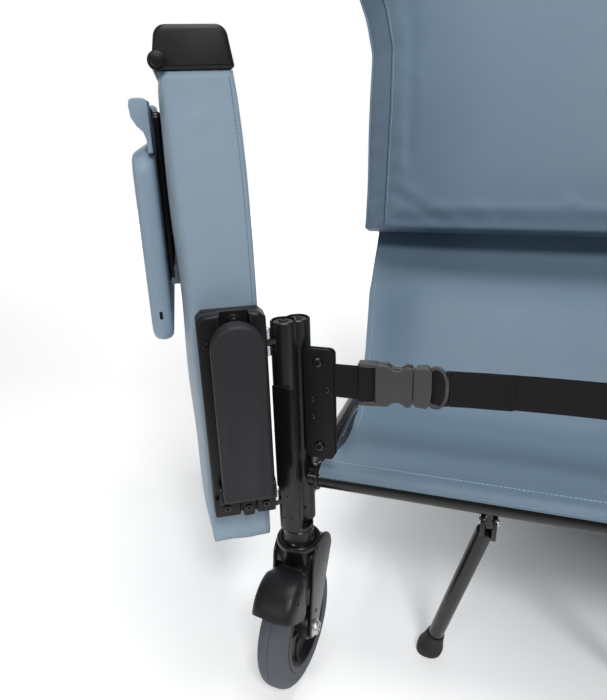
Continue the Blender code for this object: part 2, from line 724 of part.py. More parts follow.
def build_fender(name, pivot, finish):
    """Channel-shaped fender over the wheel's outer quarter, with a strap under the fork's crown."""
    middle = WHEEL_RADIUS + FENDER_GAP + FENDER_THICKNESS / 2
    half = FORK_INNER - 2 * FIT_GAP - FENDER_THICKNESS / 2
    shoulder = 2 * FENDER_THICKNESS
    section = [(-half, middle - FENDER_SKIRT), (-half, middle - shoulder), (-half + shoulder, middle),
               (half - shoulder, middle), (half, middle - shoulder), (half, middle - FENDER_SKIRT)]

    def surface(across, along):
        span = min(int(round(across * (len(section) - 1))), len(section) - 1)
        x, radius = section[span]
        angle = FENDER_LOW_ANGLE + (FENDER_HIGH_ANGLE - FENDER_LOW_ANGLE) * along
        return Vector((x, -CASTER_TRAIL - radius * math.cos(angle), WHEEL_RADIUS + radius * math.sin(angle)))

    fender = sheet(f"{name}_fender", len(section) - 1, FENDER_ROWS, surface, FENDER_THICKNESS)
    strap_top = CROWN_BOTTOM - FIT_GAP
    strap_low = WHEEL_RADIUS + middle - FENDER_THICKNESS / 4
    join(fender, block(f"{name}_fender_strap",
                       (-FENDER_STRAP_HALF_WIDTH, -CASTER_TRAIL - shoulder, strap_low),
                       (FENDER_STRAP_HALF_WIDTH, BRIDGE_HALF_LENGTH / 2, strap_top)))
    part(fender, finish, pivot)


def build_wheel(name, axle, finishes):
    """Hub and tyre, turned about the axle."""
    rim = WHEEL_RADIUS - TYRE_DEPTH
    half = TYRE_WIDTH / 2
    bore = AXLE_RADIUS + FIT_GAP
    boss_half = FORK_INNER - FIT_GAP
    web = HUB_WEB / 2
    side = [(rim, half), (rim - RIM_LIP, half), (rim - 2 * RIM_LIP, web),
            (HUB_BOSS_RADIUS + RIM_LIP / 2, web), (HUB_BOSS_RADIUS, boss_half), (bore, boss_half)]
    hub = turned(f"{name}_hub", mirrored_profile(side))
    tyre_inner = rim + FIT_GAP
    side = [(WHEEL_RADIUS, TREAD_FLAT / 2), (WHEEL_RADIUS - TYRE_SHOULDER, half - FIT_GAP),
            (tyre_inner, half)]
    tyre = turned(f"{name}_tyre", mirrored_profile(side))
    for wheel_part, finish in ((hub, finishes["plastic"]), (tyre, finishes["tyre"])):
        wheel_part.rotation_euler = (0, math.pi / 2, 0)
        part(wheel_part, finish, axle)


def mirrored_profile(upper):
    """A closed profile from its upper half, in the order that a turned ring needs."""
    lower = [(radius, -height) for radius, height in upper]
    return [upper[0]] + lower + upper[:0:-1]


def prop_pivot_z():
    """Height of the prop legs' hinge pins."""
    return SEAT_TUBE_Z - TUBE_RADIUS - PROP_PIVOT_DROP


def build_prop_leg(name, side, chair, finishes):
    """Folding prop leg with a fork end on its pin, and a rubber ferrule on the floor."""
    x = side * PROP_SPACING / 2
    hinge = axis(f"{name}_prop_hinge", (x, 0, prop_pivot_z()), chair)
    foot = Vector((side * PROP_SPLAY, PROP_RAKE, -prop_pivot_z()))
    down = foot.normalized()
    length = foot.length
    head = PROP_PIVOT_DROP - 2 * FIT_GAP
    leg_end = down * (length - FERRULE_FOOT - FIT_GAP)
    leg = rod(f"{name}_prop_leg", (0, 0, 0), leg_end, PROP_RADIUS)
    crown = rod(f"{name}_prop_crown", (-PROP_RADIUS, 0, 0), (PROP_RADIUS, 0, 0), head)
    join(leg, crown)
    slot_half = PROP_TONGUE / 2 + FIT_GAP
    slot = block(f"{name}_prop_slot", (-slot_half, -PROP_SLOT_DEPTH, -PROP_SLOT_DEPTH),
                 (slot_half, PROP_SLOT_DEPTH, PROP_SLOT_DEPTH))
    bore = rod(f"{name}_prop_bore", (-2 * PROP_RADIUS, 0, 0), (2 * PROP_RADIUS, 0, 0),
               PROP_PIN_RADIUS + FIT_GAP)
    cut(leg, slot, bore)
    part(leg, finishes["steel"], hinge)
    ferrule = rod(f"{name}_prop_tip", down * (length - FERRULE_LENGTH), down * (length + FERRULE_RADIUS),
                  PROP_RADIUS + FERRULE_WALL, FERRULE_RADIUS)
    seat = rod(f"{name}_tip_bore", down * (length - 2 * FERRULE_LENGTH), down * (length - FERRULE_FOOT),
               PROP_RADIUS + FIT_GAP)
    floor_z = -prop_pivot_z()
    reach = 3 * FERRULE_RADIUS
    floor = block(f"{name}_tip_floor", (foot.x - reach, foot.y - reach, floor_z - reach),
                  (foot.x + reach, foot.y + reach, floor_z))
    cut(ferrule, seat, floor)
    part(ferrule, finishes["rubber"], hinge)


def build_arm(name, side, chair, finishes):
    """Swing-away arm: hinge housing, release paddle, padded panel, cap and folding tray."""
    hinge = axis(f"{name}_arm_hinge", (side * (POST_HALF_SPAN + HINGE_OUT), -HINGE_FORWARD, 0), chair,
                 (0, 0, -side * ARM_OPEN))
    build_housing(name, side, hinge, finishes["plastic"])
    build_paddle(name, side, hinge, finishes["plastic"])
    middle = side * (PANEL_INNER + PANEL_THICKNESS / 2)

    def padded(across, along, up):
        crown = (1 - along ** 4) * (1 - up ** 4)
        half = PANEL_THICKNESS / 2 - PANEL_DRAW * (1 - crown)
        lean = side * PANEL_LEAN * max(up, 0.0) ** 3
        return Vector((middle + lean + across * half, PANEL_FRONT + PANEL_LENGTH * (along + 1) / 2,
                       PANEL_BOTTOM + PANEL_HEIGHT * (up + 1) / 2))

    part(soft_form(f"{name}_arm_panel", PANEL_CUTS, padded), finishes["vinyl"], hinge)
    build_cap(name, side, hinge, finishes["cap"])
    build_tray(name, side, hinge, finishes)


def build_housing(name, side, hinge, finish):
    """Hinge housing with a finger notch, ears for the paddle's pin and bores for the hinge pins."""
    back = housing_back()
    front = back - HOUSING_DEPTH
    top = HOUSING_BOTTOM + HOUSING_HEIGHT
    low_u, high_u = HOUSING_INNER, HOUSING_INNER + HOUSING_WIDTH
    housing = block(f"{name}_hinge_housing", (side * low_u, front, HOUSING_BOTTOM),
                    (side * high_u, back, top), HOUSING_BEVEL)
    pivot_v, pivot_z = paddle_pivot()
    low, high = paddle_span()
    for label, ear_low in (("inner", low - FIT_GAP - EAR_THICKNESS), ("outer", high + FIT_GAP)):
        join(housing, block(f"{name}_{label}_ear",
                            (side * ear_low, pivot_v - EAR_DEPTH / 2, pivot_z - EAR_HEIGHT / 2),
                            (side * (ear_low + EAR_THICKNESS), front + HOUSING_BEVEL,
                             pivot_z + EAR_HEIGHT / 2)))
    pin_low, pin_high = low - EAR_THICKNESS, high + EAR_THICKNESS
    join(housing, rod(f"{name}_paddle_pin", (side * pin_low, pivot_v, pivot_z),
                      (side * pin_high, pivot_v, pivot_z), PADDLE_PIN_RADIUS))
    swing = HINGE_LUG_HALF_WIDTH + 4 * FIT_GAP
    for level, (lug_low, pin_low) in enumerate(hinge_levels()):
        lug_high = lug_low + HINGE_LUG_THICKNESS
        knuckle_low = max(pin_low - HINGE_KNUCKLE_END, HOUSING_BOTTOM)
        join(housing, rod(f"{name}_knuckle_{level}", (0, 0, knuckle_low),
                          (0, 0, lug_high + HINGE_PIN_REACH + HINGE_KNUCKLE_END), HINGE_KNUCKLE_RADIUS))
        cut(housing, rod(f"{name}_pin_bore_{level}", (0, 0, pin_low - FIT_GAP),
                         (0, 0, lug_high + HINGE_PIN_REACH + FIT_GAP), HINGE_PIN_RADIUS + FIT_GAP))
        cut(housing, block(f"{name}_lug_slot_{level}",
                           (side * -2 * swing, -2 * swing, lug_low - FIT_GAP),
                           (side * swing, back + swing, lug_high + FIT_GAP)))
    notch_u = (low + high) / 2
    cut(housing, block(f"{name}_finger_notch",
                       (side * (notch_u - NOTCH_WIDTH / 2), front - NOTCH_DEPTH, top - NOTCH_HEIGHT),
                       (side * (notch_u + NOTCH_WIDTH / 2), front + NOTCH_DEPTH, top + NOTCH_HEIGHT)))
    part(housing, finish, hinge)


def housing_back():
    """Place of the housing's back face along the arm."""
    return PANEL_FRONT - FIT_GAP


def paddle_span():
    """Inner and outer edges of the release paddle along the arm's width."""
    low = HOUSING_INNER + PADDLE_INSET
    return low, low + PADDLE_WIDTH


def paddle_pivot():
    """Place of the paddle's hinge pin, as (v, height)."""
    front = housing_back() - HOUSING_DEPTH
    return front - PADDLE_STANDOFF - PADDLE_THICKNESS / 2, HOUSING_BOTTOM + PADDLE_PIVOT_RISE


def build_paddle(name, side, hinge, finish):
    """Release paddle with a round top, on the housing's pin."""
    pivot_v, pivot_z = paddle_pivot()
    low, high = paddle_span()
    centre, radius = side * (low + high) / 2, PADDLE_WIDTH / 2
    turn = axis(f"{name}_paddle_axis", (centre, pivot_v, pivot_z), hinge)
    bottom = HOUSING_BOTTOM + PADDLE_BOTTOM_RISE - pivot_z
    outline = [(-radius, bottom), (radius, bottom)]
    outline += arc((0, bottom + PADDLE_HEIGHT - radius), radius, 0, math.pi, 12)
    paddle = plate(f"{name}_release_paddle", outline, PADDLE_THICKNESS, plane_xz(0))
    cut(paddle, rod(f"{name}_paddle_bore", (-PADDLE_WIDTH, 0, 0), (PADDLE_WIDTH, 0, 0),
                    PADDLE_PIN_RADIUS + FIT_GAP))
    part(paddle, finish, turn)


def build_cap(name, side, hinge, finish):
    """Arm cap with round top corners, and the round knob on its front."""
    inner = side * (PANEL_INNER + PANEL_LEAN - CAP_INSET)
    outer = inner + side * CAP_WIDTH
    left, right = min(inner, outer), max(inner, outer)
    low_z = PANEL_TOP + FIT_GAP
    low_v, high_v = PANEL_FRONT - CAP_NOSE, PANEL_FRONT + PANEL_LENGTH - CAP_TAIL
    corner_z = low_z + CAP_HEIGHT - CAP_CORNER
    outline = [(left, low_z), (right, low_z)]
    outline += arc((right - CAP_CORNER, corner_z), CAP_CORNER, 0, math.pi / 2, 4)
    outline += arc((left + CAP_CORNER, corner_z), CAP_CORNER, math.pi / 2, math.pi, 4)
    cap = plate(f"{name}_arm_cap", outline, high_v - low_v, plane_xz((low_v + high_v) / 2))
    knob_x, knob_z = outer - side * KNOB_INSET, low_z + KNOB_RISE
    join(cap, rod(f"{name}_cap_knob", (knob_x, low_v - KNOB_LENGTH, knob_z),
                  (knob_x, low_v + FIT_GAP, knob_z), KNOB_RADIUS))
    part(cap, finish, hinge)


def tray_frame():
    """Places for the side tray: the hanger plate's inner and outer faces, and its hinge as (u, height)."""
    inner = PANEL_INNER + PANEL_THICKNESS + PANEL_LEAN + FIT_GAP
    outer = inner + TRAY_PLATE_THICKNESS
    return inner, outer, outer + FIT_GAP + TRAY_KNUCKLE_RADIUS, PANEL_TOP - TRAY_PLATE_DROP


def build_tray(name, side, hinge, finishes):
    """Side tray: a hanger plate with hinge eyes on the arm, and the moulded tray on its pin."""
    inner, outer, pin_u, pin_z = tray_frame()
    middle_v = PANEL_FRONT + PANEL_LENGTH / 2
    half = TRAY_PLATE_LENGTH / 2
    plate_low = pin_z - TRAY_PLATE_HEIGHT
    bracket = block(f"{name}_tray_bracket", (side * inner, middle_v - half, plate_low),
                    (side * outer, middle_v + half, pin_z))
    panel_face = PANEL_INNER + PANEL_THICKNESS + FIT_GAP
    join(bracket, block(f"{name}_tray_spacer", (side * panel_face, middle_v - half, plate_low),
                        (side * (outer - FIT_GAP), middle_v + half, plate_low + TRAY_SPACER_HEIGHT)))
    eye_radius = TRAY_KNUCKLE_RADIUS + 2 * FIT_GAP
    for label, low in (("front", middle_v - half), ("rear", middle_v + half - TRAY_EYE_LENGTH)):
        join(bracket, rod(f"{name}_{label}_tray_eye", (side * pin_u, low, pin_z),
                          (side * pin_u, low + TRAY_EYE_LENGTH, pin_z), eye_radius))
    cut(bracket, rod(f"{name}_tray_pin_bore", (side * pin_u, middle_v - 2 * half, pin_z),
                     (side * pin_u, middle_v + 2 * half, pin_z), TRAY_PIN_RADIUS + FIT_GAP))
    part(bracket, finishes["steel"], hinge)
    turn = axis(f"{name}_tray_axis", (side * pin_u, middle_v, pin_z), hinge)
    build_tray_dish(name, side, turn, finishes["tray"])


def build_tray_dish(name, side, turn, finish):
    """The tray's dish, hanging below its hinge pin and open to the outside."""
    base = FIT_GAP - TRAY_KNUCKLE_RADIUS
    top = -TRAY_KNUCKLE_RADIUS - TRAY_EDGE_DROP
    bottom = top - TRAY_WIDTH
    length = TRAY_LENGTH / 2
    tray = block(f"{name}_tray", (side * base, -length, bottom), (side * (base + TRAY_DEPTH), length, top),
                 TRAY_BEVEL)
    well = block(f"{name}_tray_well", (side * (base + TRAY_WALL), -length + TRAY_WALL, bottom + TRAY_WALL),
                 (side * (base + 2 * TRAY_DEPTH), length - TRAY_WALL, top - TRAY_WALL),
                 TRAY_BEVEL - TRAY_WALL)
    cut(tray, well)
    reach = TRAY_PLATE_LENGTH / 2 - TRAY_EYE_LENGTH - FIT_GAP
    tongue = block(f"{name}_tray_tongue", (side * (base + FIT_GAP), -reach, top - TRAY_BEVEL - TRAY_WALL),
                   (side * (base + TRAY_WALL - FIT_GAP), reach, 0))
    knuckle = rod(f"{name}_tray_knuckle", (0, -reach, 0), (0, reach, 0), TRAY_KNUCKLE_RADIUS)
    pin_reach = TRAY_PLATE_LENGTH / 2
    pin = rod(f"{name}_tray_pin", (0, -pin_reach, 0), (0, pin_reach, 0), TRAY_PIN_RADIUS)
    join(tray, tongue, knuckle, pin)
    part(tray, finish, turn)


def strap_y(x):
    """How far back the lap strap lies at one place across the chair."""
    share = min(abs(x) / BELT_PLATE_END, 1.0)
    return STRAP_Y + STRAP_BOW * (1 - share * share) ** 2


def build_lap_strap(chair, finishes):
    """Riveted end plates, two lengths of webbing and a side-release buckle."""
    for name, side in SIDES:
        build_belt_plate(name, side, chair, finishes["steel"])
    start = -POST_HALF_SPAN + BUCKLE_FROM_POST
    end = start + SOCKET_LENGTH + FIT_GAP + PLUG_LENGTH
    build_webbing("right_belt", -STRAP_END, start - FIT_GAP, chair, finishes["webbing"])
    build_webbing("left_belt", end + FIT_GAP, STRAP_END, chair, finishes["webbing"])
    turn = math.atan2(strap_y(end) - strap_y(start), end - start)
    place = axis("buckle_frame", (start, strap_y(start), STRAP_Z), chair, (0, 0, turn))
    half_y, half_z = BUCKLE_THICKNESS / 2, BUCKLE_WIDTH / 2
    length = (end - start) / math.cos(turn)
    socket = block("buckle_socket", (0, -half_y, -half_z), (SOCKET_LENGTH, half_y, half_z), BUCKLE_BEVEL)
    tongue_y, tongue_z = TONGUE_THICKNESS / 2, TONGUE_WIDTH / 2
    mouth = block("buckle_mouth",
                  (SOCKET_LENGTH - TONGUE_LENGTH - FIT_GAP, -tongue_y - FIT_GAP, -tongue_z - FIT_GAP),
                  (SOCKET_LENGTH + TONGUE_LENGTH, tongue_y + FIT_GAP, tongue_z + FIT_GAP))
    cut(socket, mouth)
    part(socket, finishes["plastic"], place)
    plug = block("buckle_plug", (SOCKET_LENGTH + FIT_GAP, -half_y, -half_z), (length, half_y, half_z),
                 BUCKLE_BEVEL)
    join(plug, block("buckle_tongue", (SOCKET_LENGTH - TONGUE_LENGTH, -tongue_y, -tongue_z),
                     (SOCKET_LENGTH + PLUG_LENGTH / 2, tongue_y, tongue_z)))
    part(plug, finishes["plastic"], place)


def build_webbing(name, start, end, chair, finish):
    """A length of flat webbing on edge across the chair."""
    def surface(across, along):
        x = start + (end - start) * along
        return Vector((x, strap_y(x), STRAP_Z + STRAP_WIDTH * (across - 0.5)))

    part(sheet(name, 1, STRAP_ROWS, surface, STRAP_THICKNESS), finish, chair)


def build_belt_plate(name, side, chair, finish):
    """Front and back plates that clamp the strap's end, seated on the post, with the rivets between them."""
    outer = POST_HALF_SPAN - BELT_PLATE_OUTER
    inner = outer - BELT_PLATE_WIDTH
    top = BELT_PLATE_BOTTOM + BELT_PLATE_HEIGHT
    face = BELT_PLATE_Y - BELT_PLATE_THICKNESS
    front = block(f"{name}_belt_plate", (side * outer, face, BELT_PLATE_BOTTOM),
                  (side * inner, BELT_PLATE_Y, top))
    post_behind = TWIN_FORWARD - BELT_BACK_Y - BELT_PLATE_THICKNESS
    back_outer = POST_HALF_SPAN - TWIN_OUT - math.sqrt(TUBE_RADIUS ** 2 - post_behind ** 2) - FIT_GAP
    back = block(f"{name}_belt_back", (side * back_outer, BELT_BACK_Y, BELT_PLATE_BOTTOM),
                 (side * inner, BELT_BACK_Y + BELT_PLATE_THICKNESS, top))
    join(front, back)
    rivet_x = side * (outer - BELT_RIVET_FROM_EDGE)
    for level in (BELT_PLATE_BOTTOM + 3 * BELT_RIVET_RADIUS, STRAP_Z, top - 2 * BELT_RIVET_RADIUS):
        join(front, rod(f"{name}_belt_rivet", (rivet_x, face - BELT_RIVET_INSET, level),
                        (rivet_x, BELT_BACK_Y + BELT_PLATE_THICKNESS, level), BELT_RIVET_RADIUS - FIT_GAP))
    part(front, finish, chair)


def sling_route():
    """The sling's line on the chair's middle plane, from the front tube to the back's lower tube."""
    wrap = TUBE_RADIUS + FIT_GAP + SLING_THICKNESS / 2
    front = arc((0, SEAT_TUBE_Z), wrap, math.pi - WRAP_LOW_ANGLE, math.pi - WRAP_TOP_ANGLE, WRAP_STEPS)
    rear = arc(lower_tube_place(), wrap, math.pi - REAR_WRAP_LOW, math.pi - REAR_WRAP_TOP, WRAP_STEPS)
    span = smooth_curve([front[-1], *SLING_DIP, rear[0]], 2)
    return [Vector(point) for point in front[:-1]] + span + [Vector(point) for point in rear[1:]]


def cut_route(route, at, keep_front):
    """The stretch of a route before or after one place along the seat."""
    for before, after in zip(route, route[1:]):
        if before.x <= at < after.x:
            edge = before.lerp(after, (at - before.x) / (after.x - before.x))
    if keep_front:
        return [point for point in route if point.x < at] + [edge]
    return [edge] + [point for point in route if point.x > at]


def lower_tube_place():
    """Place of the back's lower tube on the chair's side view, as (y, z)."""
    return (BACK_Y + LOWER_TUBE_D * math.cos(BACK_LEAN), BACK_Z - LOWER_TUBE_D * math.sin(BACK_LEAN))


def sling_half_width(y):
    """Half of the sling's width at one place along the seat."""
    rows = ((0.0, SLING_FRONT_HALF_WIDTH), (SLING_DIP[1][0], SLING_FRONT_HALF_WIDTH),
            (SLING_DIP[2][0], SLING_SEAT_HALF_WIDTH), (BACK_Y, SLING_REAR_HALF_WIDTH))
    return step_between(rows, y)


def build_sling(name, points, origin, parent, finish):
    """A stretch of the sling, sagging between its held edges."""
    rows = len(points) - 1

    def surface(across, along):
        point = points[int(round(along * rows))]
        share = 2 * across - 1
        fall = math.sin(math.pi * min(max(point.x / BACK_Y, 0.0), 1.0)) ** 2
        return Vector((share * sling_half_width(point.x), point.x - origin[0],
                       point.y - SLING_SAG * fall * (1 - share * share) - origin[1]))

    return part(sheet(name, SLING_COLUMNS, rows, surface, SLING_THICKNESS), finish, parent)


def build_seat(chair, recline, finishes):
    """The sling in its seat and back stretches, and the dark tabs at its front corners."""
    route = sling_route()
    seat = cut_route(route, SLING_SPLIT_Y - SLING_SPLIT_GAP, True)
    rest = cut_route(route, SLING_SPLIT_Y + SLING_SPLIT_GAP, False)
    build_sling("seat_sling", seat, (0, 0), chair, finishes["vinyl"])
    build_sling("back_sling", rest, (PIVOT_Y, PIVOT_Z), recline, finishes["vinyl"])
    tab_start = BELT_BACK_Y + BELT_PLATE_THICKNESS + FIT_GAP
    for name, side in SIDES:
        x = side * (POST_HALF_SPAN - TAB_FROM_POST)

        def surface(across, along):
            y = tab_start + TAB_LENGTH * along
            low = BELT_PLATE_BOTTOM + TAB_LOW_RISE
            high = low + TAB_RISE * (1 - TAB_TAPER * along)
            return Vector((x, y, low + (high - low) * across))

        part(sheet(f"{name}_sling_tab", 2, 6, surface, TAB_THICKNESS), finishes["tab"], chair)


def cushion_half_width(height, inset=0.0):
    """Half of the back cushion's width at a height along it, with round top corners."""
    half = step_between(CUSHION_WAIST, height) - inset
    radius = CORNER_RADIUS - inset
    into = height - (CUSHION_HEIGHT - CORNER_RADIUS)
    if into > 0:
        half -= radius - math.sqrt(max(radius ** 2 - into ** 2, 0.0))
    return half


def build_back(chair, finishes):
    """Reclining back: uprights on the pivot, cross tubes, board, cushion and push handle."""
    recline = axis("recline_axis", (0, PIVOT_Y, PIVOT_Z), chair)
    lean = axis("back_frame", (0, BACK_Y - PIVOT_Y, BACK_Z - PIVOT_Z), recline, (-BACK_LEAN, 0, 0))
    build_uprights(recline, finishes["steel"])
    lower_half = SLING_REAR_HALF_WIDTH + FIT_GAP
    lower = rod("back_lower_tube", (-lower_half, LOWER_TUBE_D, 0), (lower_half, LOWER_TUBE_D, 0), TUBE_RADIUS)
    for name, side in SIDES:
        x = side * UPRIGHT_FROM_CENTRE
        join(lower, block(f"{name}_tube_saddle", (x - SADDLE_HALF_WIDTH, LOWER_TUBE_D, -SADDLE_HALF_HEIGHT),
                          (x + SADDLE_HALF_WIDTH, UPRIGHT_D - TUBE_RADIUS - FIT_GAP, SADDLE_HALF_HEIGHT)))
    part(lower, finishes["steel"], lean)

    def padded(across, through, up):
        height = CUSHION_HEIGHT * (up + 1) / 2
        share = math.copysign(abs(across) ** SEAM_POWER, across)
        depth = CUSHION_THICKNESS * (through + 1) / 2
        if through < 0:
            depth += CUSHION_CROWN * (1 - (1 - share ** 4) * (1 - up ** 4))
            if abs(across) == 1:
                depth = CUSHION_BORDER_DEPTH
        drawn = CUSHION_DRAW * (1 - share * share) * up ** 5
        return Vector((share * cushion_half_width(height), depth, height - drawn))

    part(soft_form("back_cushion", CUSHION_CUTS, padded), finishes["vinyl"], lean)
    build_board(lean, finishes["board"])
    build_push_handle(lean, finishes)
    return recline


def build_uprights(recline, steel):
    """Bent uprights with pivot eyes, and the cross tube between them with the spring's lug."""
    foot = Vector((0, BACK_Y, BACK_Z)) + back_direction(UPRIGHT_D, 0)
    top = foot + back_direction(0, UPRIGHT_TOP)
    knee = [Vector((0, y, z)) for y, z in UPRIGHT_KNEE]
    pivot = Vector((0, PIVOT_Y, PIVOT_Z))
    for name, side in SIDES:
        x = Vector((side * UPRIGHT_FROM_CENTRE, 0, 0))
        bend = foot + back_direction(0, UPRIGHT_STRAIGHT_FROM)
        corners = [corner - pivot + x for corner in (pivot, *knee, bend, top)]
        upright = solid(bent_tube(f"{name}_back_upright", rounded_path(corners, BEND_RADIUS, 3), TUBE_RADIUS))
        low, high = UPRIGHT_FROM_CENTRE - EYE_HALF_WIDTH, UPRIGHT_FROM_CENTRE + EYE_HALF_WIDTH
        join(upright, rod(f"{name}_pivot_eye", (side * low, 0, 0), (side * high, 0, 0), EYE_RADIUS))
        cut(upright, rod(f"{name}_pivot_bore", (side * (low - FIT_GAP), 0, 0),
                         (side * (high + FIT_GAP), 0, 0), PIVOT_BOLT_RADIUS + FIT_GAP))
        part(upright, steel, recline)
    end = UPRIGHT_FROM_CENTRE - EYE_HALF_WIDTH - FIT_GAP
    cross = rod("recline_cross_tube", (-end, 0, 0), (end, 0, 0), TUBE_RADIUS)
    hole = SPRING_PIN_RADIUS + SPRING_OPEN_PLAY
    arm = (SPRING_ARM_Y, SPRING_ARM_Z)
    join(cross, link_plate("recline_spring_lug", (0, 0), arm, hole + SPRING_PIN_RADIUS, 2 * SPRING_LUG_HALF))
    cut(cross, rod("recline_spring_hole", (-SPRING_CLEVIS_HALF, *arm), (SPRING_CLEVIS_HALF, *arm), hole))
    part(cross, steel, recline)


def back_direction(depth, height):
    """A step through and up the leaning back, in the chair's own directions."""
    cos, sin = math.cos(BACK_LEAN), math.sin(BACK_LEAN)
    return Vector((0, depth * cos + height * sin, height * cos - depth * sin))


def build_board(lean, finish):
    """Back board behind the cushion, with battens that seat on the uprights."""
    rise = CUSHION_HEIGHT - BOARD_INSET - BOARD_FOOT
    levels = [BOARD_FOOT + rise * step / BOARD_LEVELS for step in range(BOARD_LEVELS + 1)]
    edge = [(cushion_half_width(level, BOARD_INSET), level) for level in levels]
    outline = edge + [(-x, level) for x, level in reversed(edge)]
    board = plate("back_board", outline, BOARD_THICKNESS, plane_xz(BOARD_D + BOARD_THICKNESS / 2))
    reach = UPRIGHT_D - TUBE_RADIUS - FIT_GAP
    for name, side in SIDES:
        for level in (BATTEN_LOW, BATTEN_HIGH):
            x = side * UPRIGHT_FROM_CENTRE
            join(board, block(f"{name}_batten", (x - BATTEN_HALF_WIDTH, BOARD_D + BOARD_THICKNESS / 2, level),
                              (x + BATTEN_HALF_WIDTH, reach, level + BATTEN_HEIGHT)))
    part(board, finish, lean)


def build_push_handle(lean, finishes):
    """Push handle on the uprights' tops, with the recline release lever hinged on it."""
    foot = UPRIGHT_TOP + FIT_GAP
    back, top = UPRIGHT_D + HANDLE_SETBACK, UPRIGHT_TOP + HANDLE_RISE
    x = UPRIGHT_FROM_CENTRE
    corners = [(-x, UPRIGHT_D, foot), (-x, UPRIGHT_D, foot + HANDLE_RISE / 2), (-x, back, top),
               (x, back, top), (x, UPRIGHT_D, foot + HANDLE_RISE / 2), (x, UPRIGHT_D, foot)]
    handle = solid(bent_tube("push_handle", rounded_path(corners, HANDLE_BEND), HANDLE_RADIUS))
    pivot = (LEVER_FROM_CENTRE + LEVER_LENGTH / 2, back, top - LEVER_DROP)
    tongue_low = pivot[2] - LEVER_HEAD_RADIUS / 2
    half = LEVER_THICKNESS / 2
    for label, direction in (("front", -1), ("rear", 1)):
        near = direction * (half + FIT_GAP)
        far = near + direction * LEVER_CHEEK
        join(handle, block(f"lever_{label}_cheek",
                           (pivot[0] - LEVER_HEAD_RADIUS / 2, back + near, tongue_low),
                           (pivot[0] + LEVER_HEAD_RADIUS / 2, back + far, top)))
    join(handle, rod("lever_pin", (pivot[0], back - half - LEVER_CHEEK, pivot[2]),
                     (pivot[0], back + half + LEVER_CHEEK, pivot[2]), LEVER_PIN_RADIUS))
    part(handle, finishes["steel"], lean)
    turn = axis("lever_axis", pivot, lean, (0, -LEVER_SPLAY, 0))
    outline = arc((0, 0), LEVER_HEAD_RADIUS, -math.pi / 2, math.pi / 2, 6)
    outline += arc((-LEVER_LENGTH, 0), LEVER_WIDTH / 2, math.pi / 2, 3 * math.pi / 2, 6)
    lever = plate("release_lever", outline, LEVER_THICKNESS, plane_xz(0))
    cut(lever, rod("lever_bore", (0, -LEVER_THICKNESS, 0), (0, LEVER_THICKNESS, 0),
                   LEVER_PIN_RADIUS + FIT_GAP))
    part(lever, finishes["plastic"], turn)


def build_gas_spring(chair, finishes):
    """Gas spring cylinder on the rear tube's pin, and its rod with a clevis and pin at the back."""
    rear = Vector((0, SPRING_REAR_Y, SPRING_REAR_Z))
    front = Vector((0, PIVOT_Y + SPRING_ARM_Y, PIVOT_Z + SPRING_ARM_Z))
    along = (front - rear).normalized()
    reach = (front - rear).length
    hinge = axis("spring_hinge", rear, chair)
    slot_half = SPRING_LUG_HALF + FIT_GAP
    body = rod("gas_spring_cylinder", along * SPRING_CLEVIS_LENGTH, along * SPRING_BODY_LENGTH, SPRING_RADIUS)
    clevis(body, "cylinder", along * -SPRING_LUG_RADIUS, along * (SPRING_CLEVIS_LENGTH + SPRING_RADIUS),
           slot_half, along * -2 * SPRING_LUG_RADIUS, along * SPRING_CLEVIS_LENGTH)
    cut(body, rod("cylinder_pin_bore", (-2 * SPRING_CLEVIS_HALF, 0, 0), (2 * SPRING_CLEVIS_HALF, 0, 0),
                  SPRING_PIN_RADIUS + FIT_GAP))
    inside = SPRING_BODY_LENGTH - SPRING_ROD_INSIDE
    cut(body, rod("cylinder_bore", along * (inside - FIT_GAP), along * (SPRING_BODY_LENGTH + SPRING_RADIUS),
                  SPRING_ROD_RADIUS + FIT_GAP))
    part(body, finishes["steel"], hinge)
    end = along * reach
    piston = rod("gas_spring_rod", along * inside, along * (reach - SPRING_CLEVIS_LENGTH), SPRING_ROD_RADIUS)
    clevis(piston, "rod", along * (reach - SPRING_CLEVIS_LENGTH - SPRING_RADIUS),
           along * (reach + SPRING_LUG_RADIUS), slot_half, along * (reach - SPRING_CLEVIS_LENGTH),
           along * (reach + 2 * SPRING_LUG_RADIUS))
    half_pin = Vector((SPRING_CLEVIS_HALF, 0, 0))
    join(piston, rod("rod_pin", end - half_pin, end + half_pin, SPRING_PIN_RADIUS))
    part(piston, finishes["zinc"], hinge)


def clevis(piece, label, start, end, slot_half, slot_start, slot_end):
    """Add a forked end: a square bar along the spring with a slot for the lug."""
    for name, operation, low, high, half, reach in (
            ("fork", "UNION", start, end, SPRING_CLEVIS_HALF, SPRING_LUG_RADIUS - FIT_GAP),
            ("slot", "DIFFERENCE", slot_start, slot_end, slot_half, 3 * SPRING_LUG_RADIUS)):
        middle, line = (low + high) / 2, high - low
        tool = block(f"{label}_{name}", (-half, -line.length / 2, -reach), (half, line.length / 2, reach))
        tool.data.transform(Matrix.Translation(middle) @ Matrix.Rotation(math.atan2(line.z, line.y), 4, "X"))
        boolean(piece, tool, operation)


def centre_on_floor(chair):
    """Move the chair so that the middle of its footprint is the origin."""
    bpy.context.view_layer.update()
    depsgraph = bpy.context.evaluated_depsgraph_get()
    reach = []
    for obj in PARTS.objects:
        if obj.type in {"MESH", "CURVE"}:
            evaluated = obj.evaluated_get(depsgraph)
            mesh = evaluated.to_mesh()
            reach += [(evaluated.matrix_world @ vertex.co).y for vertex in mesh.vertices]
            evaluated.to_mesh_clear()
    chair.location.y = -(min(reach) + max(reach)) / 2
    bpy.context.view_layer.update()


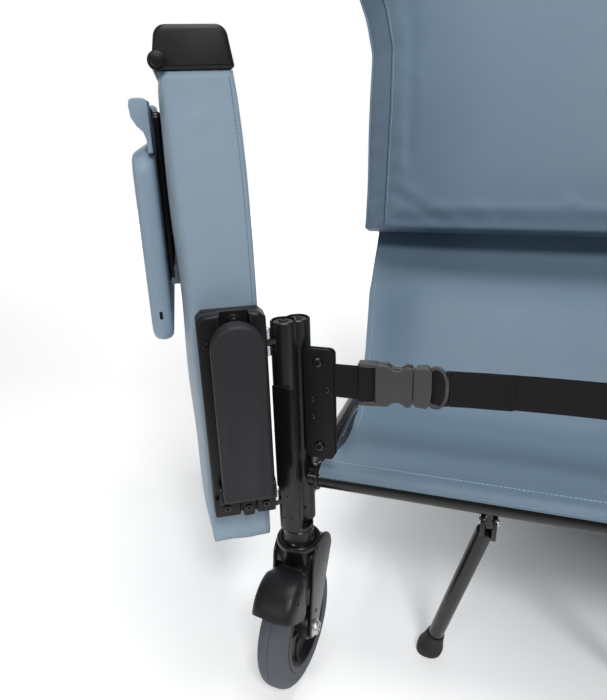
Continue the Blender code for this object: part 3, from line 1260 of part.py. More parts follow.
def build():
    """Build the whole recliner."""
    reset_scene()
    finishes = {
        "steel": finish_material("black_steel", (0.012, 0.012, 0.014), 0.35, 0.2),
        "zinc": finish_material("bright_zinc", (0.62, 0.62, 0.60), 0.25, 1.0),
        "vinyl": finish_material("blue_grey_vinyl", (0.16, 0.22, 0.27), 0.45),
        "tab": finish_material("dark_vinyl", (0.02, 0.025, 0.032), 0.5),
        "cap": finish_material("black_urethane", (0.010, 0.010, 0.012), 0.45),
        "plastic": finish_material("black_plastic", (0.014, 0.014, 0.015), 0.55),
        "tray": finish_material("grey_tray", (0.17, 0.21, 0.26), 0.4),
        "webbing": finish_material("black_webbing", (0.012, 0.012, 0.013), 0.8),
        "tyre": finish_material("slate_tyre", (0.055, 0.06, 0.07), 0.6),
        "rubber": finish_material("black_rubber", (0.012, 0.012, 0.012), 0.75),
        "board": finish_material("black_board", (0.02, 0.02, 0.02), 0.6),
    }
    chair = axis("recliner_origin", (0, 0, 0))
    build_base(chair, finishes["steel"])
    for name, side in SIDES:
        x, swivel = side * POST_HALF_SPAN, side * CASTER_SWIVEL
        build_caster(f"{name}_front", x, 0, swivel, True, chair, finishes)
        build_caster(f"{name}_rear", x, WHEELBASE, swivel, False, chair, finishes)
        build_prop_leg(name, side, chair, finishes)
        build_arm(name, side, chair, finishes)
    recline = build_back(chair, finishes)
    build_seat(chair, recline, finishes)
    build_lap_strap(chair, finishes)
    build_gas_spring(chair, finishes)
    centre_on_floor(chair)


build()
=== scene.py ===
"""Dressed model of a mobile medical recliner with swing-away arms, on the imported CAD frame.

Every piece is placed from the frame's joints and boxes, in metres, with +Z up and the chair facing -Y.
"""
import json
import logging
import math
from dataclasses import dataclass
from enum import Enum
from itertools import product
from typing import Callable, Iterable, Sequence

import bmesh
import bpy
from mathutils import Matrix, Vector

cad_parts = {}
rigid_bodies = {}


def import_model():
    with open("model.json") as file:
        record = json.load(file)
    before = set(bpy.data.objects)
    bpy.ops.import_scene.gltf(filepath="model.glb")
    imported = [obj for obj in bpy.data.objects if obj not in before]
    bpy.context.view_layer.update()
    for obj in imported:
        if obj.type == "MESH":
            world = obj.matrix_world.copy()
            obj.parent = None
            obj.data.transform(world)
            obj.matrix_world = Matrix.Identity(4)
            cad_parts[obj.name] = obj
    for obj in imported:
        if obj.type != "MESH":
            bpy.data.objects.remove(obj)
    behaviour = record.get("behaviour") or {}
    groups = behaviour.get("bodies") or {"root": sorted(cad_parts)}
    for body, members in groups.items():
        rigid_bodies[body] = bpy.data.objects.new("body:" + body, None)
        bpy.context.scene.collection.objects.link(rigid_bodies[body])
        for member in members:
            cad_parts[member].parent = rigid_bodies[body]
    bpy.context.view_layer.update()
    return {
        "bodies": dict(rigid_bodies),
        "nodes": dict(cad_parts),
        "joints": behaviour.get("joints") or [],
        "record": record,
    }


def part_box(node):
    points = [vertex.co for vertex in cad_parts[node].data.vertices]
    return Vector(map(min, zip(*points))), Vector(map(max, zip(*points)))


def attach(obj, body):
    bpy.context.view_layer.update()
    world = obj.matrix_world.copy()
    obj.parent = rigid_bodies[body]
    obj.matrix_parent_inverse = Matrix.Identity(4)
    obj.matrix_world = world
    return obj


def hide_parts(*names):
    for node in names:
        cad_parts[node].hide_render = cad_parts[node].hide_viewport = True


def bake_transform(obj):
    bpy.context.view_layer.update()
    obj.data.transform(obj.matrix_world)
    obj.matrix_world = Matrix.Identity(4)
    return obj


LOG = logging.getLogger("recliner")
Point2 = Span = tuple[float, float]
Point3 = tuple[float, float, float]
Colour = tuple[float, float, float]
ACROSS, REARWARD, UPWARD, FORWARD = (1, 0, 0), (0, 1, 0), (0, 0, 1), (0, -1, 0)
CLEARANCE = 0.0003
SMOOTH_ANGLE, ALL_SMOOTH = 38.0, 180.0
MERGE_DISTANCE, SLIVER, TIP_RADIUS = 2e-6, 1e-6, 1e-5


class Side(Enum):
    """The sitter's right or left, with the sign of its x."""

    RIGHT = -1
    LEFT = 1

    @property
    def label(self) -> str:
        """The side's word in node names."""
        return self.name.lower()


class Drive(Enum):
    """The recess in a fastener's head."""

    CROSS = "cross"
    HEX = "hex"
    BLANK = "blank"


def tone(code: str) -> Colour:
    """The linear colour of a display colour written as six hex digits."""
    parts = [int(code[i:i + 2], 16) / 255 for i in (0, 2, 4)]
    return tuple(c / 12.92 if c <= 0.04045 else ((c + 0.055) / 1.055) ** 2.4 for c in parts)


def ease(share: float) -> float:
    """A share from 0 to 1, eased at both ends."""
    share = min(max(share, 0.0), 1.0)
    return share * share * (3 - 2 * share)


def between(rows: Sequence[Point2], at: float) -> float:
    """A value read from a table of (place, value) rows, in straight steps.

    Args:
        rows: The table, in rising order of place.
        at: The place to read.

    Returns:
        The value there, held at the table's ends.
    """
    if at <= rows[0][0]:
        return rows[0][1]
    for (low, first), (high, second) in zip(rows, rows[1:]):
        if at <= high:
            return first + (second - first) * (at - low) / (high - low)
    return rows[-1][1]


class Socket:
    """An output socket whose arithmetic adds Math nodes."""

    def __init__(self, tree: "FinishTree", out: bpy.types.NodeSocket) -> None:
        """Wraps one output of a tree's node."""
        self.tree = tree
        self.out = out

    def maths(self, operation: str, first: "Socket | float", second: "Socket | float") -> "Socket":
        """The socket of a new Math node on two values."""
        return self.tree.node("ShaderNodeMath", {"operation": operation}, {0: first, 1: second})

    def __add__(self, other: "Socket | float") -> "Socket":
        """self + other"""
        return self.maths("ADD", self, other)

    __radd__ = __add__

    def __mul__(self, other: "Socket | float") -> "Socket":
        """self * other"""
        return self.maths("MULTIPLY", self, other)

    __rmul__ = __mul__

    def __sub__(self, other: "Socket | float") -> "Socket":
        """self - other"""
        return self.maths("SUBTRACT", self, other)

    def __rsub__(self, other: "Socket | float") -> "Socket":
        """other - self"""
        return self.maths("SUBTRACT", other, self)

    def __pow__(self, other: "Socket | float") -> "Socket":
        """self ** other"""
        return self.maths("POWER", self, other)

    def sine(self) -> "Socket":
        """The sine of this value."""
        return self.maths("SINE", self, 0.0)


class FinishTree:
    """The nodes of one finish."""

    def __init__(self, name: str) -> None:
        """Starts a material with its shader and object coordinates.

        Args:
            name: The material's name.
        """
        self.material = bpy.data.materials.new(name)
        self.material.use_nodes = True
        self.nodes = self.material.node_tree.nodes
        self.links = self.material.node_tree.links
        self.shader = self.nodes["Principled BSDF"]
        self.place = self.node("ShaderNodeTexCoord", {}, {}, "Object")

    def node(self, kind: str, settings: dict, values: dict, output: int | str = 0) -> Socket:
        """Adds a node.

        Args:
            kind: The node's type.
            settings: Attributes that are set first; stops are a ramp's places and colours.
            values: A number, colour or link for each input, by index or name.
            output: The output to hand back.

        Returns:
            That output, wrapped.
        """
        made = self.nodes.new(kind)
        for key, value in settings.items():
            if key == "stops":
                ramp = made.color_ramp.elements
                for element, (at, colour) in zip(ramp, value):
                    element.position = at
                    element.color = (*colour, 1)
            else:
                setattr(made, key, value)
        for key, value in values.items():
            self.put(made.inputs[key], value)
        return Socket(self, made.outputs[output])

    def put(self, socket: bpy.types.NodeSocket, value: "Socket | float | Colour") -> None:
        """Links or sets one input.

        Args:
            socket: The input.
            value: The link, number or colour that it takes.
        """
        if isinstance(value, Socket):
            self.links.new(value.out, socket)
        elif socket.type == "RGBA":
            socket.default_value = (*value, 1)
        else:
            socket.default_value = value

    def set(self, **values: "Socket | float | Colour") -> None:
        """Sets or links the shader's inputs, with _ for a space in their names."""
        for key, value in values.items():
            self.put(self.shader.inputs[key.replace("_", " ")], value)

    def mix(self, share: Socket, first: "Socket | Colour", second: "Socket | Colour") -> Socket:
        """Two colours mixed by a share."""
        return self.node("ShaderNodeMix", {"data_type": "RGBA"}, {0: share, 6: first, 7: second}, 2)

    def ranged(self, value: Socket, start: float, end: float, first: float = 0.0, last: float = 1.0) -> Socket:
        """A value from start to end, mapped from first to last and held there."""
        return self.node("ShaderNodeMapRange", {}, {0: value, 1: start, 2: end, 3: first, 4: last})

    def noise(self, scale: float, detail: float = 2.0, roughness: float = 0.5) -> Socket:
        """Noise of a number of waves a metre."""
        values = {"Vector": self.place, "Scale": scale, "Detail": detail, "Roughness": roughness}
        return self.node("ShaderNodeTexNoise", {}, values)

    def cells(self, scale: float, feature: str = "F1") -> Socket:
        """Distance inside cells of a number a metre."""
        return self.node("ShaderNodeTexVoronoi", {"feature": feature}, {"Vector": self.place, "Scale": scale})

    def part(self, axis: str) -> Socket:
        """One coordinate of the place on the object."""
        return self.node("ShaderNodeSeparateXYZ", {}, {0: self.place}, axis)

    def edge(self) -> Socket:
        """How far the surface bulges, about a half on flats."""
        return self.node("ShaderNodeNewGeometry", {}, {}, "Pointiness")

    def bump(self, height: Socket, depth: float, strength: float = 1.0) -> None:
        """Raises the surface by a height of a depth in metres."""
        normal = self.node("ShaderNodeBump", {}, {"Strength": strength, "Distance": depth, "Height": height})
        self.set(Normal=normal)


@dataclass(frozen=True)
class Finish:
    """A finish that varies a little over its surface."""

    name: str
    colour: Colour
    slot: str
    drift: float = 0.12
    roughness: float = 0.45

    def make(self) -> bpy.types.Material:
        """The finish's material, made once.

        Returns:
            The material.
        """
        known = bpy.data.materials.get(self.name)
        if known:
            return known
        tree = FinishTree(self.name)
        self.shade(tree)
        tree.material.diffuse_color = (*self.colour, 1)
        return tree.material

    def tinted(self, times: float, plus: float = 0.0) -> Colour:
        """The colour, made lighter or darker."""
        return tuple(min(c * times + plus, 1) for c in self.colour)

    def drifted(self, tree: FinishTree, scale: float) -> Socket:
        """The colour, drifting lighter and darker over the surface."""
        return tree.mix(tree.noise(scale, 3.0), self.tinted(1 - self.drift), self.tinted(1 + self.drift))

    def shade(self, tree: FinishTree) -> None:
        """Sets the shader up."""
        tree.set(Base_Color=self.drifted(tree, 9.0), Roughness=self.roughness)


@dataclass(frozen=True)
class Vinyl(Finish):
    """Coated upholstery cloth with a pressed leather grain."""

    grain: float = 880.0
    depth: float = 0.00010

    def shade(self, tree: FinishTree) -> None:
        """Grain cells, soft creases, and painted shade in the grain's valleys.

        Args:
            tree: The finish's nodes.
        """
        valley = tree.ranged(tree.cells(self.grain, "DISTANCE_TO_EDGE"), 0.0, 0.16)
        creases = tree.noise(36.0, 6.0, 0.62)
        # Painted shade: the grain's valleys are painted darker than its cells.
        shaded = tree.mix(valley, self.tinted(0.93), self.drifted(tree, 7.0))
        tree.set(Base_Color=shaded, Roughness=self.roughness + 0.16 * creases - 0.06 * valley)
        tree.set(Specular_IOR_Level=0.42, Sheen_Weight=0.06, Sheen_Roughness=0.5)
        tree.bump(valley * 0.6 + creases * 0.9 + tree.noise(1500.0) * 0.2, self.depth)


@dataclass(frozen=True)
class PowderCoat(Finish):
    """Baked gloss paint on steel, with orange peel and rubbed edges."""

    peel: float = 520.0
    coat: float = 0.22

    def shade(self, tree: FinishTree) -> None:
        """Orange peel, faint dust and lighter worn edges.

        Args:
            tree: The finish's nodes.
        """
        worn = tree.ranged(tree.edge(), 0.53, 0.62, 0.0, 0.5)
        dust = tree.noise(26.0, 4.0)
        base = tree.mix(worn, self.drifted(tree, 14.0), self.tinted(3, 0.02))
        tree.set(Base_Color=base, Roughness=self.roughness + 0.14 * dust, Coat_Weight=self.coat)
        tree.set(Coat_Roughness=0.16, Specular_IOR_Level=0.18 + 0.4 * self.coat)
        tree.bump(tree.noise(self.peel, 1.0), 0.00012, 0.6)


@dataclass(frozen=True)
class Moulded(Finish):
    """Moulded plastic with a fine spark texture."""

    spark: float = 1400.0
    depth: float = 0.00008

    def shade(self, tree: FinishTree) -> None:
        """Spark texture, flow marks and edges polished by handling.

        Args:
            tree: The finish's nodes.
        """
        flow = tree.noise(18.0, 3.0)
        rubbed = tree.ranged(tree.edge(), 0.52, 0.60, 0.0, 0.4)
        base = tree.mix(rubbed, self.drifted(tree, 12.0), self.tinted(1.8, 0.01))
        tree.set(Base_Color=base, Roughness=self.roughness + 0.12 * flow - 0.1 * rubbed)
        tree.set(Specular_IOR_Level=0.30)
        tree.bump(tree.cells(self.spark) + flow * 0.6, self.depth)


@dataclass(frozen=True)
class Woven(Finish):
    """Ribbed webbing: ribs along the strap and picks across it."""

    rib: float = 0.0023
    pick: float = 0.0030

    def shade(self, tree: FinishTree) -> None:
        """Ribs and picks as waves, with painted highlight on their crests, painted shade in their grooves, and random
        fibre tone.

        Args:
            tree: The finish's nodes.
        """
        ribs = (tree.part("Z") * (2 * math.pi / self.rib)).sine()
        picks = (tree.part("X") * (2 * math.pi / self.pick) + ribs * 1.6).sine()
        fibre = tree.noise(900.0, 3.0)
        weave = ribs * 0.5 + picks * 0.3 + fibre * 0.4
        # Painted light: the weave's crests are painted lighter and its grooves darker, mixed with random fibre tone.
        share = tree.ranged(weave, -0.7, 1.2)
        colour = tree.mix(share, self.tinted(0.25), self.tinted(2.4))
        tree.set(Base_Color=colour, Roughness=self.roughness + 0.2 * fibre)
        tree.set(Sheen_Weight=0.05, Specular_IOR_Level=0.25)
        tree.bump(weave, 0.00060)


@dataclass(frozen=True)
class Rubber(Finish):
    """Grey rubber with scuffs and a dusty bloom."""

    def shade(self, tree: FinishTree) -> None:
        """Bloom, scuffs and a skin texture.

        Args:
            tree: The finish's nodes.
        """
        bloom = tree.noise(32.0, 5.0, 0.65)
        scuff = tree.noise(160.0, 4.0, 0.7)
        tree.set(Base_Color=tree.mix(bloom ** 2.0, self.drifted(tree, 20.0), self.tinted(0.8, 0.05)))
        tree.set(Roughness=self.roughness + 0.2 * scuff, Specular_IOR_Level=0.35)
        tree.bump(scuff * 0.5 + tree.noise(1100.0) * 0.5, 0.00014)


@dataclass(frozen=True)
class Plated(Finish):
    """Zinc or chrome plating with fine draw lines."""

    def shade(self, tree: FinishTree) -> None:
        """Bright metal, clouded a little, with fine scratches.

        Args:
            tree: The finish's nodes.
        """
        cloud = tree.noise(60.0, 3.0)
        tree.set(Base_Color=self.drifted(tree, 40.0), Roughness=self.roughness + 0.16 * cloud, Metallic=1.0)
        tree.bump(tree.noise(2200.0, 1.0), 0.00003)


@dataclass(frozen=True)
class Hardboard(Finish):
    """Painted fibre board with a brushed grain."""

    def shade(self, tree: FinishTree) -> None:
        """Long fibres and a matt coat.

        Args:
            tree: The finish's nodes.
        """
        drawn = tree.node("ShaderNodeMapping", {}, {"Vector": tree.place, "Scale": (90.0, 600.0, 18.0)})
        fibre = tree.node("ShaderNodeTexNoise", {}, {"Vector": drawn, "Scale": 3.0, "Detail": 4.0})
        colour = tree.mix(fibre, self.colour, self.tinted(1.35))
        tree.set(Base_Color=colour, Roughness=self.roughness + 0.15 * fibre)
        tree.bump(fibre, 0.00018)


# The arm's vinyl is the seat's vinyl painted lighter, as painted light on the arm's front.
ARM_VINYL_PAINTED_LIGHT = Vinyl("arm_vinyl", tone("96ABBC"), "vinyl", 0.04, 0.40)
SEAT_VINYL = Vinyl("seat_vinyl", tone("6B8193"), "vinyl", 0.05, 0.42)
# The corner tabs' vinyl is painted dark: painted shade for tabs that sit in shadow behind the posts.
TAB_VINYL_PAINTED_SHADE = Vinyl("tab_vinyl", tone("2A3137"), "dark_vinyl", 0.10, 0.48)
BLACK_STEEL = PowderCoat("black_steel", tone("111112"), "steel", 0.10, 0.22)
SATIN_STEEL = PowderCoat("satin_steel", tone("191819"), "steel", 0.10, 0.36, 520.0, 0.0)
HOUSING_BLACK = Moulded("housing_black", tone("141416"), "plastic", 0.10, 0.32)
PADDLE_GREY = Moulded("paddle_grey", tone("2A292D"), "plastic", 0.08, 0.46, 1100.0, 0.00010)
CAP_BLACK = Moulded("cap_urethane", tone("1C1B1E"), "arm_cap", 0.08, 0.36, 900.0, 0.00003)
TRAY_PLASTIC = Moulded("tray_plastic", tone("8FA3B4"), "tray", 0.04, 0.34)
BUCKLE_GREY = Moulded("buckle_grey", tone("4A494A"), "plastic", 0.10, 0.40)
HUB_BLACK = Moulded("hub_black", tone("131315"), "plastic", 0.10, 0.36)
HOOD_BLACK = Moulded("hood_black", tone("222224"), "plastic", 0.10, 0.30)
WEBBING = Woven("lap_webbing", tone("121113"), "webbing", 0.10, 0.62)
TYRE_SLATE = Rubber("tyre_slate", tone("535760"), "tyre", 0.08, 0.58)
TIP_RUBBER = Rubber("tip_rubber", tone("1A1A1C"), "rubber", 0.10, 0.62)
ZINC = Plated("zinc", tone("C4C3BC"), "zinc", 0.08, 0.24)
BLACK_ZINC = Plated("black_zinc", tone("4A4A4C"), "zinc", 0.08, 0.26)
CHROME = Plated("hinge_chrome", tone("D8D8DA"), "zinc", 0.04, 0.14)
BOARD_GREY = Hardboard("back_board_paint", tone("3C4249"), "board", 0.10, 0.55)
ARM_THREAD = Moulded("arm_thread", tone("5F7488"), "vinyl", 0.10, 0.6)
SEAT_THREAD = Moulded("seat_thread", tone("8DA0B0"), "vinyl", 0.10, 0.6)
SEAM_SHADE = Vinyl("seam_shade", tone("33414D"), "vinyl", 0.05, 0.6)
# Near-black paint for holes, slots and drive recesses: painted shade where light does not reach.
RECESS_PAINTED_SHADE = Moulded("recess_dark", tone("070708"), "plastic", 0.10, 0.7)


def rounded(width: float, height: float, radius: float, centre: Point2 = (0.0, 0.0), steps: int = 6) -> list[Point2]:
    """A rectangle's outline with round corners, anticlockwise.

    Args:
        width: Its size along the first axis.
        height: Its size along the second axis.
        radius: The corners' radius.
        centre: Its middle.
        steps: Points on each corner, less one.

    Returns:
        The outline's points.
    """
    x, y = width / 2 - radius, height / 2 - radius
    out = []
    for quarter, (sx, sy) in enumerate(((1, 1), (-1, 1), (-1, -1), (1, -1))):
        for step in range(steps + 1):
            angle = math.pi / 2 * (quarter + step / steps)
            out.append((centre[0] + sx * x + radius * math.cos(angle), centre[1] + sy * y + radius * math.sin(angle)))
    return out


def bow(centre: Point2, radius: float, start: float, end: float, steps: int) -> list[Point2]:
    """Points along an arc, with its angles in degrees."""
    spread = [math.radians(start + (end - start) * i / steps) for i in range(steps + 1)]
    return [(centre[0] + radius * math.cos(a), centre[1] + radius * math.sin(a)) for a in spread]


def hoop(centre: Vector, side: Vector, other: Vector, radius: float, steps: int) -> list[Vector]:
    """Points round a circle.

    Args:
        centre: Its middle.
        side: The direction of its first point.
        other: The direction a quarter of a turn on.
        radius: Its radius.
        steps: How many points it has.

    Returns:
        The points, in order.
    """
    turns = [2 * math.pi * step / steps for step in range(steps)]
    return [centre + (side * math.cos(turn) + other * math.sin(turn)) * radius for turn in turns]


def inset(outline: Sequence[Point2], by: float) -> list[Point2]:
    """A closed anticlockwise outline drawn in at every point.

    Args:
        outline: The outline's points.
        by: How far it is drawn in.

    Returns:
        The points of the smaller outline.
    """
    out = []
    for index, point in enumerate(outline):
        here = Vector(point)
        before = (here - Vector(outline[index - 1])).normalized()
        after = (Vector(outline[(index + 1) % len(outline)]) - here).normalized()
        along = (before + after).normalized()
        turn = max(along.dot(after), 0.5)
        normal = Vector((-along.y, along.x))
        out.append(tuple(here + normal * (by / turn)))
    return out


class Plane(Enum):
    """Which way a slab's outline (a, b) and its thickness t lie in the place's axes."""

    XZ = "xz"
    YZ = "yz"
    XY = "xy"

    def put(self, a: float, b: float, t: float) -> Vector:
        """The point at outline place (a, b) and depth t."""
        return Vector({"xz": (a, t, b), "yz": (t, a, b), "xy": (a, b, t)}[self.value])


class Mould:
    """A mesh in the making, in one place's axes."""

    def __init__(self, name: str, place: Matrix | None = None) -> None:
        """Starts an empty mesh.

        Args:
            name: The piece's name.
            place: The axes that its points are given in.
        """
        self.name = name
        self.place = place or Matrix.Identity(4)
        self.mesh = bmesh.new()
        self.finishes: list[Finish] = []
        self.index = 0

    def use(self, finish: Finish) -> "Mould":
        """Takes a finish for the faces that follow.

        Args:
            finish: The finish.

        Returns:
            This mould.
        """
        if finish not in self.finishes:
            self.finishes.append(finish)
        self.index = self.finishes.index(finish)
        return self

    def face(self, corners: Sequence[bmesh.types.BMVert]) -> None:
        """Adds a face in the current finish."""
        made = self.mesh.faces.new(corners)
        made.material_index = self.index

    def loft(self, rings: Sequence[Sequence[Vector]], closed: bool = True, caps: bool = True) -> "Mould":
        """Joins rings of points with faces.

        Args:
            rings: Rows of points, all of one length.
            closed: Whether each row runs round to its start.
            caps: Whether the first and last rows are filled.

        Returns:
            This mould.
        """
        rows = [[self.mesh.verts.new(self.place @ Vector(point)) for point in ring] for ring in rings]
        count = len(rows[0])
        for first, second in zip(rows, rows[1:]):
            for i in range(count if closed else count - 1):
                j = (i + 1) % count
                self.face((first[i], first[j], second[j], second[i]))
        if caps:
            self.face(rows[0][::-1])
            self.face(rows[-1])
        return self

    def slab(self, outline: Sequence[Point2], low: float, high: float, plane: Plane, edge: float = 0.0008) -> "Mould":
        """An outline given thickness, with rounded edges.

        Args:
            outline: The outline's points.
            low: One face's place along the thickness.
            high: The other face's place.
            plane: Which way the outline lies.
            edge: The edges' radius.

        Returns:
            This mould.
        """
        area = sum(a[0] * b[1] - b[0] * a[1] for a, b in zip(outline, [*outline[1:], outline[0]]))
        shape = list(outline) if area > 0 else list(outline)[::-1]
        rings = []
        for face, way in ((low, 1), (high, -1)):
            for share in (0.0, 0.3, 0.7, 1.0)[::way]:
                angle = math.pi / 2 * share
                drawn = inset(shape, edge * (1 - math.sin(angle)))
                rings.append([plane.put(a, b, face + way * edge * (1 - math.cos(angle))) for a, b in drawn])
        return self.loft(rings)

    def brick(self, low: Sequence[float], high: Sequence[float], edge: float = 0.0012) -> "Mould":
        """A block with every edge rounded.

        Args:
            low: One corner.
            high: The opposite corner.
            edge: The edges' radius.

        Returns:
            This mould.
        """
        width, height = abs(high[0] - low[0]), abs(high[2] - low[2])
        middle = ((low[0] + high[0]) / 2, (low[2] + high[2]) / 2)
        outline = rounded(width, height, min(edge * 1.5, width * 0.45, height * 0.45), middle, 3)
        return self.slab(outline, min(low[1], high[1]), max(low[1], high[1]), Plane.XZ, edge)

    def turned(self, profile: Sequence[Point2], origin: Sequence[float], axis: Sequence[float],
               steps: int = 40) -> "Mould":
        """A profile turned round an axis.

        Args:
            profile: (radius, height) points along the axis.
            origin: Where height 0 is.
            axis: The axis's direction.
            steps: Faces round it.

        Returns:
            This mould.
        """
        up = Vector(axis).normalized()
        side = up.orthogonal().normalized()
        other = up.cross(side)
        foot = Vector(origin)
        return self.loft([hoop(foot + up * height, side, other, max(radius, TIP_RADIUS), steps)
                          for radius, height in profile])

    def spun(self, profile: Sequence[Point2], centre: Sequence[float], axes: Sequence[Sequence[float]],
             steps: int) -> "Mould":
        """A closed profile turned round an axis, with a hole through its middle.

        Args:
            profile: (radius, height) points along the axis.
            centre: Where height 0 is.
            axes: The axis and two directions square to it.
            steps: Faces round it.

        Returns:
            This mould.
        """
        up, side, other = (Vector(axis) for axis in axes)
        rings = [hoop(Vector(centre) + up * height, side, other, radius, steps) for radius, height in profile]
        return self.loft([*rings, rings[0]], caps=False)

    def tube(self, path: Sequence[Vector], radius: float, steps: int = 16) -> "Mould":
        """A round bar along a path.

        Args:
            path: The points of its middle line.
            radius: Its radius.
            steps: Faces round it.

        Returns:
            This mould.
        """
        points = [Vector(point) for point in path]
        along = [(b - a).normalized() for a, b in zip(points, points[1:])]
        side = along[0].orthogonal().normalized()
        rings = []
        for index, point in enumerate(points):
            before, after = along[max(index - 1, 0)], along[min(index, len(along) - 1)]
            line = (before + after).normalized()
            side = (side - line * side.dot(line)).normalized()
            rings.append(hoop(point, side, line.cross(side), radius, steps))
        return self.loft(rings)

    def stitches(self, path: Sequence[Vector], pitch: float = 0.0045, width: float = 0.0007) -> "Mould":
        """Sewn stitches along a line: short threads that dip into the cloth at each end.

        Args:
            path: The line's points.
            pitch: The length of a stitch.
            width: The thread's radius.

        Returns:
            This mould.
        """
        points = [Vector(point) for point in path]
        lengths = [(b - a).length for a, b in zip(points, points[1:])]
        count = max(int(sum(lengths) / pitch), 1)
        for index in range(count):
            ends = [walk(points, lengths, (index + share) * pitch) for share in (0.12, 0.5, 0.88)]
            along = (ends[2] - ends[0]).normalized()
            side = along.orthogonal().normalized()
            other = along.cross(side)
            self.loft([hoop(point, side, other, width * share, 6) for point, share in zip(ends, (0.35, 1.0, 0.35))])
        return self

    def screw(self, at: Sequence[float], axis: Sequence[float], radius: float, drive: Drive, head: Finish) -> "Mould":
        """A pan-head fastener with its drive recess.

        Args:
            at: The middle of the head's seat.
            axis: The way the head faces.
            radius: The head's radius.
            drive: The recess in the head.
            head: The head's finish.

        Returns:
            This mould.
        """
        rise, well = radius * 0.55, radius * 0.5
        self.use(head)
        profile = [(radius, 0.0), (radius, rise * 0.45), (radius * 0.86, rise * 0.85), (radius * 0.62, rise)]
        if drive is Drive.BLANK:
            return self.turned([*profile, (0.0, rise * 1.04)], at, axis, 24)
        self.turned([*profile, (well, rise), (well * 0.92, rise * 0.35), (0.0, rise * 0.3)], at, axis, 24)
        # The drive recess is painted near-black as painted shade.
        self.use(RECESS_PAINTED_SHADE)
        if drive is Drive.HEX:
            socket = [(well * 0.9, rise * 0.36), (well * 0.8, rise * 0.4), (0.0, rise * 0.4)]
            return self.turned(socket, at, axis, 6)
        up = Vector(axis).normalized()
        side = up.orthogonal().normalized()
        for along in (side, up.cross(side)):
            across = up.cross(along)
            rings = []
            for height in (rise * 0.32, rise * 0.55):
                rings.append([Vector(at) + up * height + along * (a * well * 0.95) + across * (b * well * 0.24)
                              for a, b in ((1, 1), (-1, 1), (-1, -1), (1, -1))])
            self.loft(rings)
        return self

    def piece(self, body: str, *nodes: str, smooth: float = SMOOTH_ANGLE) -> bpy.types.Object:
        """Finishes the mesh as a piece.

        Args:
            body: The CAD body it rides on.
            nodes: The CAD nodes it stands for.
            smooth: The sharpest angle in degrees that is shaded smooth.

        Returns:
            The new object.
        """
        made = self.bare(smooth)
        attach(made, body)
        if nodes:
            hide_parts(*nodes)
        LOG.info("%s rides on %s", self.name, body)
        return made

    def bare(self, smooth: float = SMOOTH_ANGLE) -> bpy.types.Object:
        """The mesh as an object with its materials, riding on nothing yet.

        Args:
            smooth: The sharpest angle in degrees that is shaded smooth.

        Returns:
            The new object.
        """
        bmesh.ops.remove_doubles(self.mesh, verts=self.mesh.verts, dist=MERGE_DISTANCE)
        bmesh.ops.dissolve_degenerate(self.mesh, edges=self.mesh.edges, dist=SLIVER)
        bmesh.ops.recalc_face_normals(self.mesh, faces=self.mesh.faces)
        data = bpy.data.meshes.new(self.name)
        self.mesh.to_mesh(data)
        self.mesh.free()
        data.polygons.foreach_set("use_smooth", [True] * len(data.polygons))
        data.set_sharp_from_angle(angle=math.radians(smooth))
        for finish in self.finishes:
            data.materials.append(finish.make())
        made = bpy.data.objects.new(self.name, data)
        bpy.context.scene.collection.objects.link(made)
        return made


def walk(points: Sequence[Vector], lengths: Sequence[float], distance: float) -> Vector:
    """The point at a distance along a line.

    Args:
        points: The line's points.
        lengths: The lengths between them.
        distance: How far along.

    Returns:
        The point there.
    """
    for index, length in enumerate(lengths):
        if distance <= length or index == len(lengths) - 1:
            return points[index].lerp(points[index + 1], min(distance / max(length, 1e-9), 1.0))
        distance -= length
    return points[-1]


